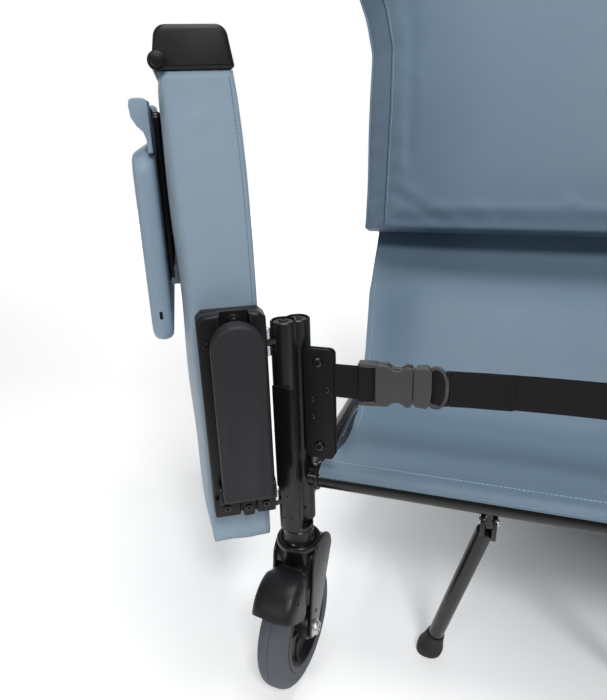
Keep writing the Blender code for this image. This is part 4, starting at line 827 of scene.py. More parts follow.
@dataclass
class Pad:
    """A stuffed cover: a box of cloth cells that air pressure swells between its sewn edges."""

    name: str
    place: Matrix
    finish: Finish
    cuts: tuple[int, int, int]
    shape: Callable[[float, float, float], Vector]
    held: Callable[[float, float, float], float]
    pressure: float = 4.0
    swell: float = 0.008
    frames: int = 16
    crease: Callable[[float, float, float], float] = lambda across, through, up: 0.75

    def build(self) -> bpy.types.Object:
        """Makes the box of cells, swells it and rounds it.

        Returns:
            The pad's object.
        """
        mould = Mould(self.name, self.place).use(self.finish)
        corners: dict[tuple[int, int, int], bmesh.types.BMVert] = {}
        holds: list[float] = []

        def corner(key: tuple[int, int, int]) -> bmesh.types.BMVert:
            """The vertex at one cell corner on the box's skin.

            Args:
                key: The corner's place in cells along each axis.

            Returns:
                The vertex, made once.
            """
            if key not in corners:
                shares = [2 * k / n - 1 for k, n in zip(key, self.cuts)]
                corners[key] = mould.mesh.verts.new(self.place @ self.shape(*shares))
                holds.append(self.held(*shares))
            return corners[key]

        for axis in range(3):
            first, second = [a for a in range(3) if a != axis]
            for end, i, j in product((0, self.cuts[axis]), range(self.cuts[first]), range(self.cuts[second])):
                keys = []
                for di, dj in ((0, 0), (1, 0), (1, 1), (0, 1)):
                    key = [0, 0, 0]
                    key[axis], key[first], key[second] = end, i + di, j + dj
                    keys.append(tuple(key))
                mould.face([corner(key) for key in keys])
        folds = mould.mesh.edges.layers.float.new("crease_edge")
        keyed = {vertex: key for key, vertex in corners.items()}
        for edge in mould.mesh.edges:
            one, two = (keyed[vertex] for vertex in edge.verts)
            shared = sum(a == b and a in (0, n) for a, b, n in zip(one, two, self.cuts))
            if shared >= 2:
                edge[folds] = self.crease(*((a + b) / n - 1 for a, b, n in zip(one, two, self.cuts)))
        made = mould.bare(ALL_SMOOTH)
        self.inflate(made, holds)
        made.modifiers.new("rounded", "SUBSURF").levels = 1
        made.modifiers["rounded"].render_levels = 1
        return made

    def inflate(self, made: bpy.types.Object, holds: Sequence[float]) -> None:
        """Runs the cloth, caps each point's travel and keeps the result.

        Args:
            made: The pad's object.
            holds: How firmly each vertex is held, from 0 to 1.
        """
        start = [vertex.co.copy() for vertex in made.data.vertices]
        group = made.vertex_groups.new(name="sewn")
        for index, hold in enumerate(holds):
            group.add([index], hold, "REPLACE")
        cloth = made.modifiers.new("cloth", "CLOTH")
        cloth.settings.vertex_group_mass = "sewn"
        cloth.settings.use_pressure = True
        cloth.settings.uniform_pressure_force = self.pressure
        cloth.settings.effector_weights.gravity = 0.0
        cloth.settings.shrink_min = -0.012
        cloth.settings.quality = 4
        cloth.point_cache.frame_end = self.frames
        scene = bpy.context.scene
        for frame in range(1, self.frames + 1):
            scene.frame_set(frame)
        shape = made.evaluated_get(bpy.context.evaluated_depsgraph_get())
        moved = [vertex.co.copy() for vertex in shape.data.vertices]
        made.modifiers.remove(cloth)
        made.vertex_groups.clear()
        for vertex, first, last in zip(made.data.vertices, start, moved):
            step = last - first
            length = step.length
            if length > self.swell:
                step *= (self.swell * (1 - math.exp(-length / self.swell))) / length
            vertex.co = first + step
        scene.frame_set(1)


def settle(points: Sequence[Vector], place: Matrix, cover: bpy.types.Object, lift: float) -> list[Vector]:
    """Lays a line of points on a cover's finished surface.

    Args:
        points: The line, in a place's axes.
        place: Those axes.
        cover: The cover, not yet riding on a body.
        lift: How far the line stands off the surface.

    Returns:
        The line on the surface, in the same axes.
    """
    shape = cover.evaluated_get(bpy.context.evaluated_depsgraph_get())
    back = place.inverted()
    out = []
    for point in points:
        found, at, normal, _ = shape.closest_point_on_mesh(place @ point)
        out.append(back @ (at + normal * lift) if found else point)
    return out


@dataclass
class Places:
    """Where the frame puts the chair's axes."""

    frame: dict
    arm_forward: float = 0.028
    arm_open: float = 30.0
    back_from_pivot: Point3 = (0.0, 0.145, 0.253)
    back_lean: float = 17.0

    def joint(self, name: str) -> Vector:
        """A joint's place."""
        return Vector(self.row(name)["pos_m"])

    def row(self, name: str) -> dict:
        """A joint's row in the record."""
        return next(row for row in self.frame["joints"] if row["name"] == name)

    @property
    def front(self) -> float:
        """The front posts' line along y."""
        return self.joint("right_arm_swing").y + self.arm_forward

    def chair(self) -> Matrix:
        """Axes on the floor under the middle of the posts' line."""
        return Matrix.Translation((0, self.front, 0))

    def arm(self, side: Side) -> Matrix:
        """Axes at an arm's hinge: x outward, y back along the arm."""
        hinge, turn = self.joint(f"{side.label}_arm_swing"), math.radians(-side.value * self.arm_open)
        return (Matrix.Translation((hinge.x, hinge.y, 0)) @ Matrix.Rotation(turn, 4, "Z")
                @ Matrix.Diagonal((side.value, 1, 1, 1)))

    def post(self, side: Side) -> Matrix:
        """Axes on the floor under a front post: x outward."""
        return self.chair() @ Matrix.Diagonal((side.value, 1, 1, 1))

    def caster(self, name: str) -> Matrix:
        """Axes on the floor under a caster's swivel, with x along its axle.

        Args:
            name: The caster's name.

        Returns:
            The axes.
        """
        pivot = self.joint(f"{name}_swivel")
        axle = Vector(self.row(f"{name}_roll")["axis"])
        across = Vector((axle.x, axle.y, 0)).normalized() * (1 if axle.x > 0 else -1)
        turn = math.atan2(across.y, across.x)
        return Matrix.Translation((pivot.x, pivot.y, 0)) @ Matrix.Rotation(turn, 4, "Z")

    def back(self) -> Matrix:
        """Axes of the back rest: y back through the cushion, z up along it."""
        place = Vector((0, *self.joint("back_recline").yz)) + Vector(self.back_from_pivot)
        return Matrix.Translation(place) @ Matrix.Rotation(-math.radians(self.back_lean), 4, "X")


@dataclass
class Studio:
    """Camera, floor and light."""

    places: Places
    from_hinge: Point3 = (0.2261, -0.5288, 0.6593)
    right: Point3 = (0.94623, 0.32201, -0.03097)
    up: Point3 = (-0.08896, 0.35105, 0.93211)
    ahead: Point3 = (-0.31102, 0.87923, -0.36082)
    lens: float = 30.857
    sensor: float = 36.0
    room: float = 0.15
    floor_white: float = 0.90
    floor_dim: float = 0.45
    floor_glow: float = 0.36
    far_glow: float = 0.85
    far_y: Span = (0.3, 2.4)
    near_y: Span = (-1.3, -0.7)
    shade_reach: Span = (0.06, 0.46)
    shade_at: Point3 = (0.14, 0.02, 0.0)
    floor_y: tuple[float, ...] = (-6.0, -1.0, 3.4)
    floor_x: tuple[float, ...] = (-7.0, 0.0, 7.0)
    floor_z: float = -0.0005
    wall_z: tuple[float, ...] = (-0.0005, 2.0, 4.0)
    wall_fade: Span = (-0.6, 3.6)
    wall_glow: float = 1.0
    aim: Point3 = (-0.15, -0.1, 0.45)
    boxes: tuple[tuple[str, Sequence[float], float, float], ...] = (
        ("left_box", (-0.90, -2.3, 0.95), 0.30, 4.0), ("key_box", (0.7, -2.0, 2.2), 0.5, 32.0),
        ("top_box", (-0.1, -0.3, 2.5), 0.9, 24.0))

    def build(self) -> None:
        """Sets up everything round the chair."""
        self.set_camera()
        self.lay_floor()
        self.light()

    def set_camera(self) -> None:
        """The camera at the viewing angle, hung from the right arm's hinge."""
        data = bpy.data.cameras.new("camera")
        data.lens = self.lens
        data.sensor_width = self.sensor
        data.clip_start = 0.02
        camera = bpy.data.objects.new("camera", data)
        bpy.context.scene.collection.objects.link(camera)
        turn = Matrix((self.right, self.up, -Vector(self.ahead))).transposed().to_4x4()
        hinge = self.places.joint("right_arm_swing")
        turn.translation = Vector((hinge.x, hinge.y, 0)) + Vector(self.from_hinge)
        camera.matrix_world = turn
        bpy.context.scene.camera = camera

    def lay_floor(self) -> None:
        """A pale floor that glows, with a painted shadow under the chair, dimmer in front and glowing more further
        back, and a glowing wall behind the chair that fades to one side.
        """
        floor = FinishTree("studio_floor")
        away = floor.ranged(floor.part("Y"), *self.far_y)
        nearer = floor.ranged(floor.part("Y"), *self.near_y, 1.0, 0.0)
        reach = floor.node("ShaderNodeVectorMath", {"operation": "DISTANCE"}, {0: floor.place, 1: self.shade_at},
                           "Value")
        # Painted shadow: the floor's paint and glow are darker in a disc under the chair.
        under = floor.ranged(reach, *self.shade_reach, 1.0, 0.0)
        white, dim, dark = ((level,) * 3 for level in (self.floor_white, self.floor_dim, 0.0))
        glow = floor.mix(nearer, floor.mix(under, (self.floor_glow,) * 3, dark), dark)
        glow = floor.mix(away, glow, (self.far_glow,) * 3)
        paint = floor.mix(nearer, floor.mix(under, white, dim), dim)
        floor.set(Base_Color=paint, Roughness=0.8, Emission_Color=glow, Emission_Strength=1.0)
        floor.set(Specular_IOR_Level=0.2)
        wall = FinishTree("studio_wall")
        fade = wall.ranged(wall.part("X"), *self.wall_fade)
        wall.set(Emission_Color=wall.mix(fade, (self.wall_glow,) * 3, (self.room,) * 3), Emission_Strength=1.0)
        wall.set(Base_Color=dark, Roughness=1.0, Specular_IOR_Level=0.0)
        lower, upper = (Mould(name).use(Finish(name, white, "board")) for name in ("studio_floor", "studio_wall"))
        far = self.floor_y[-1]
        lower.loft([[Vector((x, y, self.floor_z)) for x in self.floor_x] for y in self.floor_y], False, False)
        upper.loft([[Vector((x, far, z)) for x in self.floor_x] for z in self.wall_z], False, False)
        lower.bare(ALL_SMOOTH)
        upper.bare(ALL_SMOOTH)

    def light(self) -> None:
        """A key box at the front right, fills at the front left and overhead, in a dim white room."""
        world = bpy.data.worlds.new("white_room")
        world.use_nodes = True
        background = world.node_tree.nodes["Background"]
        background.inputs[0].default_value = (1.0, 1.0, 1.0, 1.0)
        background.inputs[1].default_value = self.room
        scene = bpy.context.scene
        scene.world = world
        scene.view_settings.view_transform = "Standard"
        for name, at, size, power in self.boxes:
            data = bpy.data.lights.new(name, "AREA")
            data.size = size
            data.energy = power
            lamp = bpy.data.objects.new(name, data)
            lamp.location = at
            lamp.rotation_euler = (Vector(self.aim) - Vector(at)).to_track_quat("-Z", "Y").to_euler()
            scene.collection.objects.link(lamp)


@dataclass
class Arm:
    """A swing-away arm: padded panel, cap, hinge housing, release paddle and folding tray."""

    side: Side
    place: Matrix
    inner: float = 0.0065
    thickness: float = 0.0745
    lean: float = 0.008
    front: float = 0.0108
    length: float = 0.450
    bottom: float = 0.1998
    height: float = 0.501
    outer_draw: float = 0.0075
    housing: Span = (0.0015, 0.0700)
    housing_front: float = -0.0165
    housing_z: Span = (0.2578, 0.4848)
    paddle_u: Span = (0.0060, 0.0590)
    paddle_v: Span = (-0.0385, -0.0180)
    paddle_z: Span = (0.2848, 0.4793)
    paddle_pivot: float = 0.2913
    cap_u: Span = (0.0135, 0.0855)
    cap_z: Span = (0.7011, 0.7368)
    tray_pin: Point2 = (0.0991, 0.6708)
    tray_plate: float = 0.0933
    tray_size: Point2 = (0.340, 0.2035)
    tray_depth: float = 0.0225
    hanger_size: Point2 = (0.200, 0.190)
    eye_length: float = 0.014

    @property
    def label(self) -> str:
        """The side's word."""
        return self.side.label

    def build(self) -> None:
        """Builds every piece of the arm."""
        self.build_panel()
        self.build_cap()
        self.build_housing()
        self.build_paddle()
        self.build_tray()

    def panel_face(self, across: float, along: float, up: float) -> Vector:
        """A point of the panel's skin.

        Args:
            across: Its place across the panel, from -1 to 1.
            along: Its place along the panel.
            up: Its place up the panel.

        Returns:
            The point, in the arm's axes.
        """
        crown = (1 - along ** 6) * (1 - up ** 6)
        leaning = self.lean * max(up, 0.0) ** 3
        low = self.inner + leaning + 0.0015 * (1 - crown) * 0.4
        high = self.inner + self.thickness + leaning - self.outer_draw * (1 - crown)
        if abs(up) < 1:
            high += 0.001 * math.sin(9 * up + 4 * along)
        u = low + (high - low) * (across + 1) / 2
        v = self.front + self.length * (along + 1) / 2
        z = self.bottom + self.height * (up + 1) / 2
        if along == -1:
            v += 0.0014 * (1 - (1 - across ** 4) * (1 - up ** 8))
        if up == -1:
            z += 0.0015 * math.sin(2.4 * across + 2.6 * along) ** 2
        return Vector((u, v, z))

    def panel_held(self, across: float, along: float, up: float) -> float:
        """How firmly the panel's seams hold a point, from 0 to 1."""
        sewn = sum(abs(place) == 1 for place in (across, along, up)) >= 2 or abs(along) == 1 and across < -0.85
        return 1.0 if sewn or up == 1 else 0.75 if abs(along) == 1 else 0.02

    def panel_crease(self, across: float, along: float, up: float) -> float:
        """How sharp the panel's edge is: soft round the outer front and the bottom, crisp elsewhere."""
        return 0.30 if across == 1 and along == -1 else 0.35 if up == -1 else 0.88

    def build_panel(self) -> None:
        """The padded panel."""
        pad = Pad(f"{self.label}_panel_cover", self.place, ARM_VINYL_PAINTED_LIGHT, (9, 34, 38), self.panel_face,
                  self.panel_held, 3.0, 0.0024, 14, self.panel_crease)
        made = pad.build()
        self.build_seams(made)
        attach(made, f"{self.label}_arm")
        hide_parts(f"{self.label}_arm_panel")
        LOG.info("%s swells between its seams", made.name)

    def build_seams(self, cover: bpy.types.Object) -> None:
        """The sewn lines on the panel's front and rear.

        Args:
            cover: The panel's cover.
        """
        mould = Mould(f"{self.label}_panel_stitching", self.place).use(ARM_THREAD)
        rows = [-0.985 + 1.98 * i / 60 for i in range(61)]
        for end in (-1, 1):
            line = [self.panel_face(-1, end, up) + Vector((0.0044, 0, 0)) for up in rows]
            mould.stitches(settle(line, self.place, cover, 0.0003), 0.0036, 0.0005)
        mould.piece(f"{self.label}_arm")

    def build_cap(self) -> None:
        """The moulded cap, wider at its foot, with the two-step knob on its front."""
        low, high = self.cap_u
        foot, top = self.cap_z
        draft = 0.0042
        nose, tail = self.front - 0.002, self.front + self.length - 0.005
        outline = bow((low + 0.0040, foot + 0.0040), 0.0040, 192, 270, 5)
        outline += bow((high - 0.0040, foot + 0.0040), 0.0040, 270, 348, 5)
        outline += bow((high - draft - 0.0105, top - 0.0105), 0.0105, 12, 90, 7)
        outline += bow((low + draft + 0.0105, top - 0.0105), 0.0105, 90, 168, 7)
        mould = Mould(f"{self.label}_cap_pad", self.place).use(CAP_BLACK)
        mould.slab(outline, nose, tail, Plane.XZ, 0.0036)
        knob_u, knob_z = high - 0.0055, foot + 0.0075
        mould.use(HOUSING_BLACK)
        mould.turned([(0.0080, 0.0), (0.0080, 0.0036), (0.0074, 0.0044), (0.0056, 0.0048), (0.0056, 0.0085),
                      (0.0049, 0.0096), (0.0030, 0.0100), (0.0, 0.0100)], (knob_u, nose + 0.0004, knob_z), FORWARD)
        mould.piece(f"{self.label}_arm", f"{self.label}_arm_cap")

    def build_housing(self) -> None:
        """The hinge housing with its finger notch, bottom blocks, screws and hinge knuckles."""
        low, high = self.housing
        foot, top = self.housing_z
        back, front = self.front - CLEARANCE, self.housing_front
        middle = sum(self.paddle_u) / 2
        notch_low, half = top - 0.023, 0.014
        mould = Mould(f"{self.label}_hinge_case", self.place).use(HOUSING_BLACK)
        outline = [(low, foot + 0.004), (low + 0.004, foot), (high - 0.004, foot), (high, foot + 0.004),
                   (high, top - 0.006), (high - 0.006, top), (low + 0.006, top), (low, top - 0.006)]
        mould.slab(outline, -0.0006, back, Plane.XZ, 0.0012)
        notch = [(middle + half, top), (middle + half, notch_low + 0.006),
                 *bow((middle + half - 0.006, notch_low + 0.006), 0.006, 0, -90, 4),
                 *bow((middle - half + 0.006, notch_low + 0.006), 0.006, -90, -180, 4), (middle - half, top)]
        mould.slab(outline[:6] + notch + outline[6:], front, 0.0002, Plane.XZ, 0.0036)
        mould.turned([(0.0072, 0.0), (0.0072, 0.0040), (0.0064, 0.0052), (0.0, 0.0052)],
                     (middle, -0.0006, notch_low + 0.012), FORWARD)
        mould.screw((middle, -0.0056, notch_low + 0.012), FORWARD, 0.0048, Drive.CROSS, BLACK_ZINC)
        mould.screw((high - 0.0085, front - 0.0002, top - 0.030), FORWARD, 0.0040, Drive.CROSS, HOUSING_BLACK)
        blocks = ((low + 0.0012, 0.0238, 0.0055), (0.0262, 0.0388, 0.0085), (0.0412, high - 0.0012, 0.0055))
        for start, end, proud in blocks:
            mould.use(HOUSING_BLACK)
            mould.brick((start, front - proud, foot + 0.0006), (end, front + 0.002, foot + 0.0228), 0.0018)
            seat = ((start + end) / 2, front - proud + 0.0002, foot + 0.0118)
            mould.screw(seat, FORWARD, 0.0040, Drive.CROSS, BLACK_ZINC)
        mould.use(HOUSING_BLACK)
        ear = rounded(0.018, 0.022, 0.006, (front - 0.0085, self.paddle_pivot))
        for u in (self.paddle_u[0] - 0.0020, self.paddle_u[1] + 0.0020):
            mould.slab(ear, u - 0.0016, u + 0.0016, Plane.YZ, 0.0006)
        pin = self.paddle_u[0] - 0.0030
        mould.use(ZINC).turned([(0.0024, 0.0), (0.0024, self.paddle_u[1] + 0.003 - pin)],
                               (pin, sum(self.paddle_v) / 2, self.paddle_pivot), ACROSS, 20)
        for z, reach in ((foot, 0.0118), (foot + 0.1752, 0.0112), (foot + 0.1934, 0.0116)):
            mould.use(CHROME).turned([(0.0038, 0.0), (0.0044, 0.0006), (0.0044, reach - 0.0006), (0.0038, reach)],
                                     (0, 0, z), UPWARD, 28)
        mould.piece(f"{self.label}_arm", f"{self.label}_hinge_housing")

    def build_paddle(self) -> None:
        """The release paddle: round top, raised rim and a moulded grip mark."""
        low, high = self.paddle_u
        foot, top = self.paddle_z
        front, back = self.paddle_v
        radius, middle = (high - low) / 2, (low + high) / 2
        outline = [(low, foot + 0.004), *bow((low + 0.004, foot + 0.004), 0.004, 180, 270, 4)]
        outline += bow((high - 0.004, foot + 0.004), 0.004, 270, 360, 4)
        outline += bow((middle, top - radius), radius, 0, 180, 24)
        mould = Mould(f"{self.label}_paddle_grip", self.place).use(PADDLE_GREY)
        rings = []
        for by, v in ((0.0020, back), (0.0004, back - 0.0006), (0.0, back - 0.0020), (0.0, front + 0.0030),
                      (0.0004, front + 0.0018), (0.0016, front + 0.0006), (0.0034, front), (0.0060, front + 0.0002),
                      (0.0078, front + 0.0008), (0.0100, front + 0.0009)):
            rings.append([Vector((a, v, b)) for a, b in inset(outline, by)])
        mould.loft(rings)
        mark = bow((middle, top - 0.095), 0.038, 62, 118, 14)
        mould.tube([Vector((u, front + 0.0009, z)) for u, z in mark], 0.0006, 8)
        mould.piece(f"{self.label}_paddle", f"{self.label}_release_paddle")

    def build_tray(self) -> None:
        """The folding tray with its dish, lips, hinge knuckle and pin, and the hanger that carries it."""
        pin_u, pin_z = self.tray_pin
        middle = self.front + self.length / 2
        base, deep = pin_u - 0.0052, self.tray_depth
        top = pin_z - 0.0365
        length, width = self.tray_size
        centre = (middle, top - width / 2)
        mould = Mould(f"{self.label}_tray_dish", self.place).use(TRAY_PLASTIC)
        rings = []
        for by, out, corner in ((0.0100, 0.0, 0.014), (0.0050, 0.0010, 0.018), (0.0016, 0.0040, 0.021),
                                (0.0, 0.0095, 0.023), (0.0, deep - 0.0095, 0.023), (0.0014, deep - 0.0042, 0.022),
                                (0.0044, deep - 0.0010, 0.020), (0.0078, deep, 0.018), (0.0108, deep - 0.0012, 0.016),
                                (0.0122, deep - 0.0042, 0.015), (0.0130, 0.0100, 0.014), (0.0150, 0.0056, 0.013),
                                (0.0190, 0.0042, 0.010)):
            ring = rounded(length - 2 * by, width - 2 * by, corner, centre, 8)
            rings.append([Vector((base + out, v, z)) for v, z in ring])
        mould.loft(rings)
        lip = [(0.0004, -0.0395), (0.0046, -0.0395), (0.0052, -0.0270), (0.0072, -0.0200), (0.0130, -0.0140),
               (0.0176, -0.0060), (0.0186, 0.0040), (0.0178, 0.0094), (0.0150, 0.0112), (0.0085, 0.0114),
               (0.0040, 0.0110), (0.0010, 0.0090), (0.0004, -0.0030)]
        outline = [(base + u, pin_z + z) for u, z in lip]
        for start in (middle - 0.168, middle + 0.1008):
            mould.slab(outline, start, start + 0.0672, Plane.XZ, 0.0012)
        # The slot is a near-black sheet: painted shade for the hole.
        mould.use(RECESS_PAINTED_SHADE)
        slot = rounded(0.0036, 0.0090, 0.0016, (base + 0.0112, top - width + 0.034), 4)
        mould.slab(slot, middle - length / 2 - 0.0001, middle - length / 2 + 0.0004, Plane.XZ, 0.0001)
        mould.use(TRAY_PLASTIC)
        half = self.hanger_size[0] / 2
        reach = half - self.eye_length - CLEARANCE
        mould.brick((base + 0.0004, middle - reach, top - 0.012), (base + 0.0040, middle + reach, pin_z), 0.0008)
        mould.turned([(0.0045, 0.0), (0.0054, 0.001), (0.0054, 2 * reach - 0.001), (0.0045, 2 * reach)],
                     (pin_u, middle - reach, pin_z), REARWARD, 28)
        mould.use(ZINC).turned([(0.0024, 0.0), (0.0029, 0.0006), (0.0029, 2 * half - 0.0006), (0.0024, 2 * half)],
                               (pin_u, middle - half, pin_z), REARWARD, 20)
        mould.piece(f"{self.label}_tray", f"{self.label}_tray")
        self.build_hanger(middle)

    def build_hanger(self, middle: float) -> None:
        """The hanger plate on the arm's side, with its spacer and hinge eyes.

        Args:
            middle: The middle of the arm's length.
        """
        pin_u, pin_z = self.tray_pin
        wide, tall = self.hanger_size
        start, end, foot = middle - wide / 2, middle + wide / 2, pin_z - tall
        mould = Mould(f"{self.label}_tray_hanger", self.place).use(BLACK_STEEL)
        outline = rounded(wide, tall, 0.008, (middle, foot + tall / 2))
        mould.slab(outline, self.tray_plate - 0.0062, self.tray_plate, Plane.YZ, 0.0008)
        panel = self.inner + self.thickness + CLEARANCE
        mould.use(TRAY_PLASTIC)
        mould.brick((panel, start, foot), (self.tray_plate - 0.0004, end, foot + 0.022), 0.0012)
        mould.use(BLACK_STEEL)
        long = self.eye_length
        eye = ((0.0055, 0.0), (0.0061, 0.0007), (0.0061, long - 0.0007), (0.0055, long),
               (0.0033, long), (0.0033, 0.0))
        for low in (start, end - long):
            mould.spun(eye, (pin_u, low, pin_z), (REARWARD, ACROSS, UPWARD), 28)
        mould.piece(f"{self.label}_arm", f"{self.label}_tray_bracket")


@dataclass
class FrontPost:
    """Twin-tube post with the arm's hinge lugs and leaf bar."""

    side: Side
    place: Matrix
    half_span: float = 0.290
    twin: Point2 = (0.0035, 0.0115)
    radius: float = 0.0138
    foot: float = 0.2121
    top: float = 0.4628
    proud: float = 0.0040
    hinge: Point2 = (0.3055, -0.028)
    levels: Span = (0.2515, 0.4448)

    def build(self) -> None:
        """Tubes, plugs, lugs, pins, leaf bar and rivets."""
        mould = Mould(f"{self.side.label}_twin_post", self.place)
        out, forward = self.twin
        fore = (self.half_span + out, -forward)
        for (x, y), top in ((fore, self.top + self.proud), ((self.half_span - out, forward), self.top)):
            r, height = self.radius, top - self.foot
            mould.use(BLACK_STEEL)
            mould.turned([(0.0, 0.0), (r - 0.001, 0.0), (r, 0.001), (r, height - 0.0012),
                          (r - 0.0008, height - 0.0003), (r - 0.0014, height), (r - 0.0020, height - 0.0004),
                          (r - 0.0022, height - 0.003), (0.0, height - 0.0034)], (x, y, self.foot), UPWARD, 48)
            mould.use(HUB_BLACK)
            mould.turned([(r - 0.0024, height - 0.0036), (r - 0.0034, height - 0.0016), (0.0052, height - 0.0014),
                          (0.0046, height - 0.0024), (0.0, height - 0.0024)], (x, y, self.foot), UPWARD, 40)
            mould.screw((x, y, self.foot + height - 0.0024), UPWARD, 0.0040, Drive.HEX, HUB_BLACK)
        self.build_hinge(mould, fore)
        mould.piece("base", f"{self.side.label}_front_post")

    def build_hinge(self, mould: Mould, fore: Point2) -> None:
        """Adds the lugs, pins, leaf bar and rivets.

        Args:
            mould: The post in the making.
            fore: The front tube's middle.
        """
        hinge = Vector(self.hinge)
        along = Vector(fore) - hinge
        turn = Matrix.Translation((hinge.x, hinge.y, 0)) @ Matrix.Rotation(math.atan2(along.y, along.x), 4, "Z")
        keep = mould.place
        for level, z in enumerate(self.levels):
            mould.place = keep @ turn
            outline = [(along.length, -0.0045), (along.length, 0.0045), *bow((0, 0), 0.0045, 90, 270, 10)]
            mould.use(BLACK_STEEL).slab(outline, z, z + 0.006, Plane.XY, 0.0006)
            mould.place = keep
            low = z + 0.0062 if level == 0 else z - 0.0100
            reach = z + 0.0160 - low
            mould.use(CHROME).turned([(0.0016, 0.0), (0.0020, 0.0004), (0.0020, reach), (0.0, reach)],
                                     (hinge.x, hinge.y, low), UPWARD, 20)
        leaf_x = hinge.x - 0.0125
        leaf_z = self.foot + 0.040
        face = fore[1] - self.radius + 0.0006
        low, high = leaf_x - 0.0130, leaf_x + 0.0104
        outline = [(high, leaf_z + 0.146), *bow((low + 0.006, leaf_z + 0.139), 0.006, 90, 180, 6),
                   *bow((low + 0.006, leaf_z + 0.006), 0.006, 180, 270, 6), (leaf_x + 0.004, leaf_z),
                   (leaf_x + 0.007, leaf_z + 0.003), (leaf_x + 0.007, leaf_z + 0.0200), (high, leaf_z + 0.0235)]
        mould.use(BLACK_STEEL).slab(outline, face - 0.0025, face, Plane.XZ, 0.0005)
        mould.screw((leaf_x, face - 0.0024, leaf_z + 0.009), FORWARD, 0.0016, Drive.BLANK, BLACK_ZINC)
        for x, y, z in ((fore[0] - 0.004, -0.0247, 0.018), (fore[0] + 0.004, -0.0247, 0.018),
                        (self.half_span - 0.0100, -0.0014, 0.020)):
            mould.screw((x, y, self.foot + z), FORWARD, 0.0017, Drive.BLANK, BLACK_ZINC)


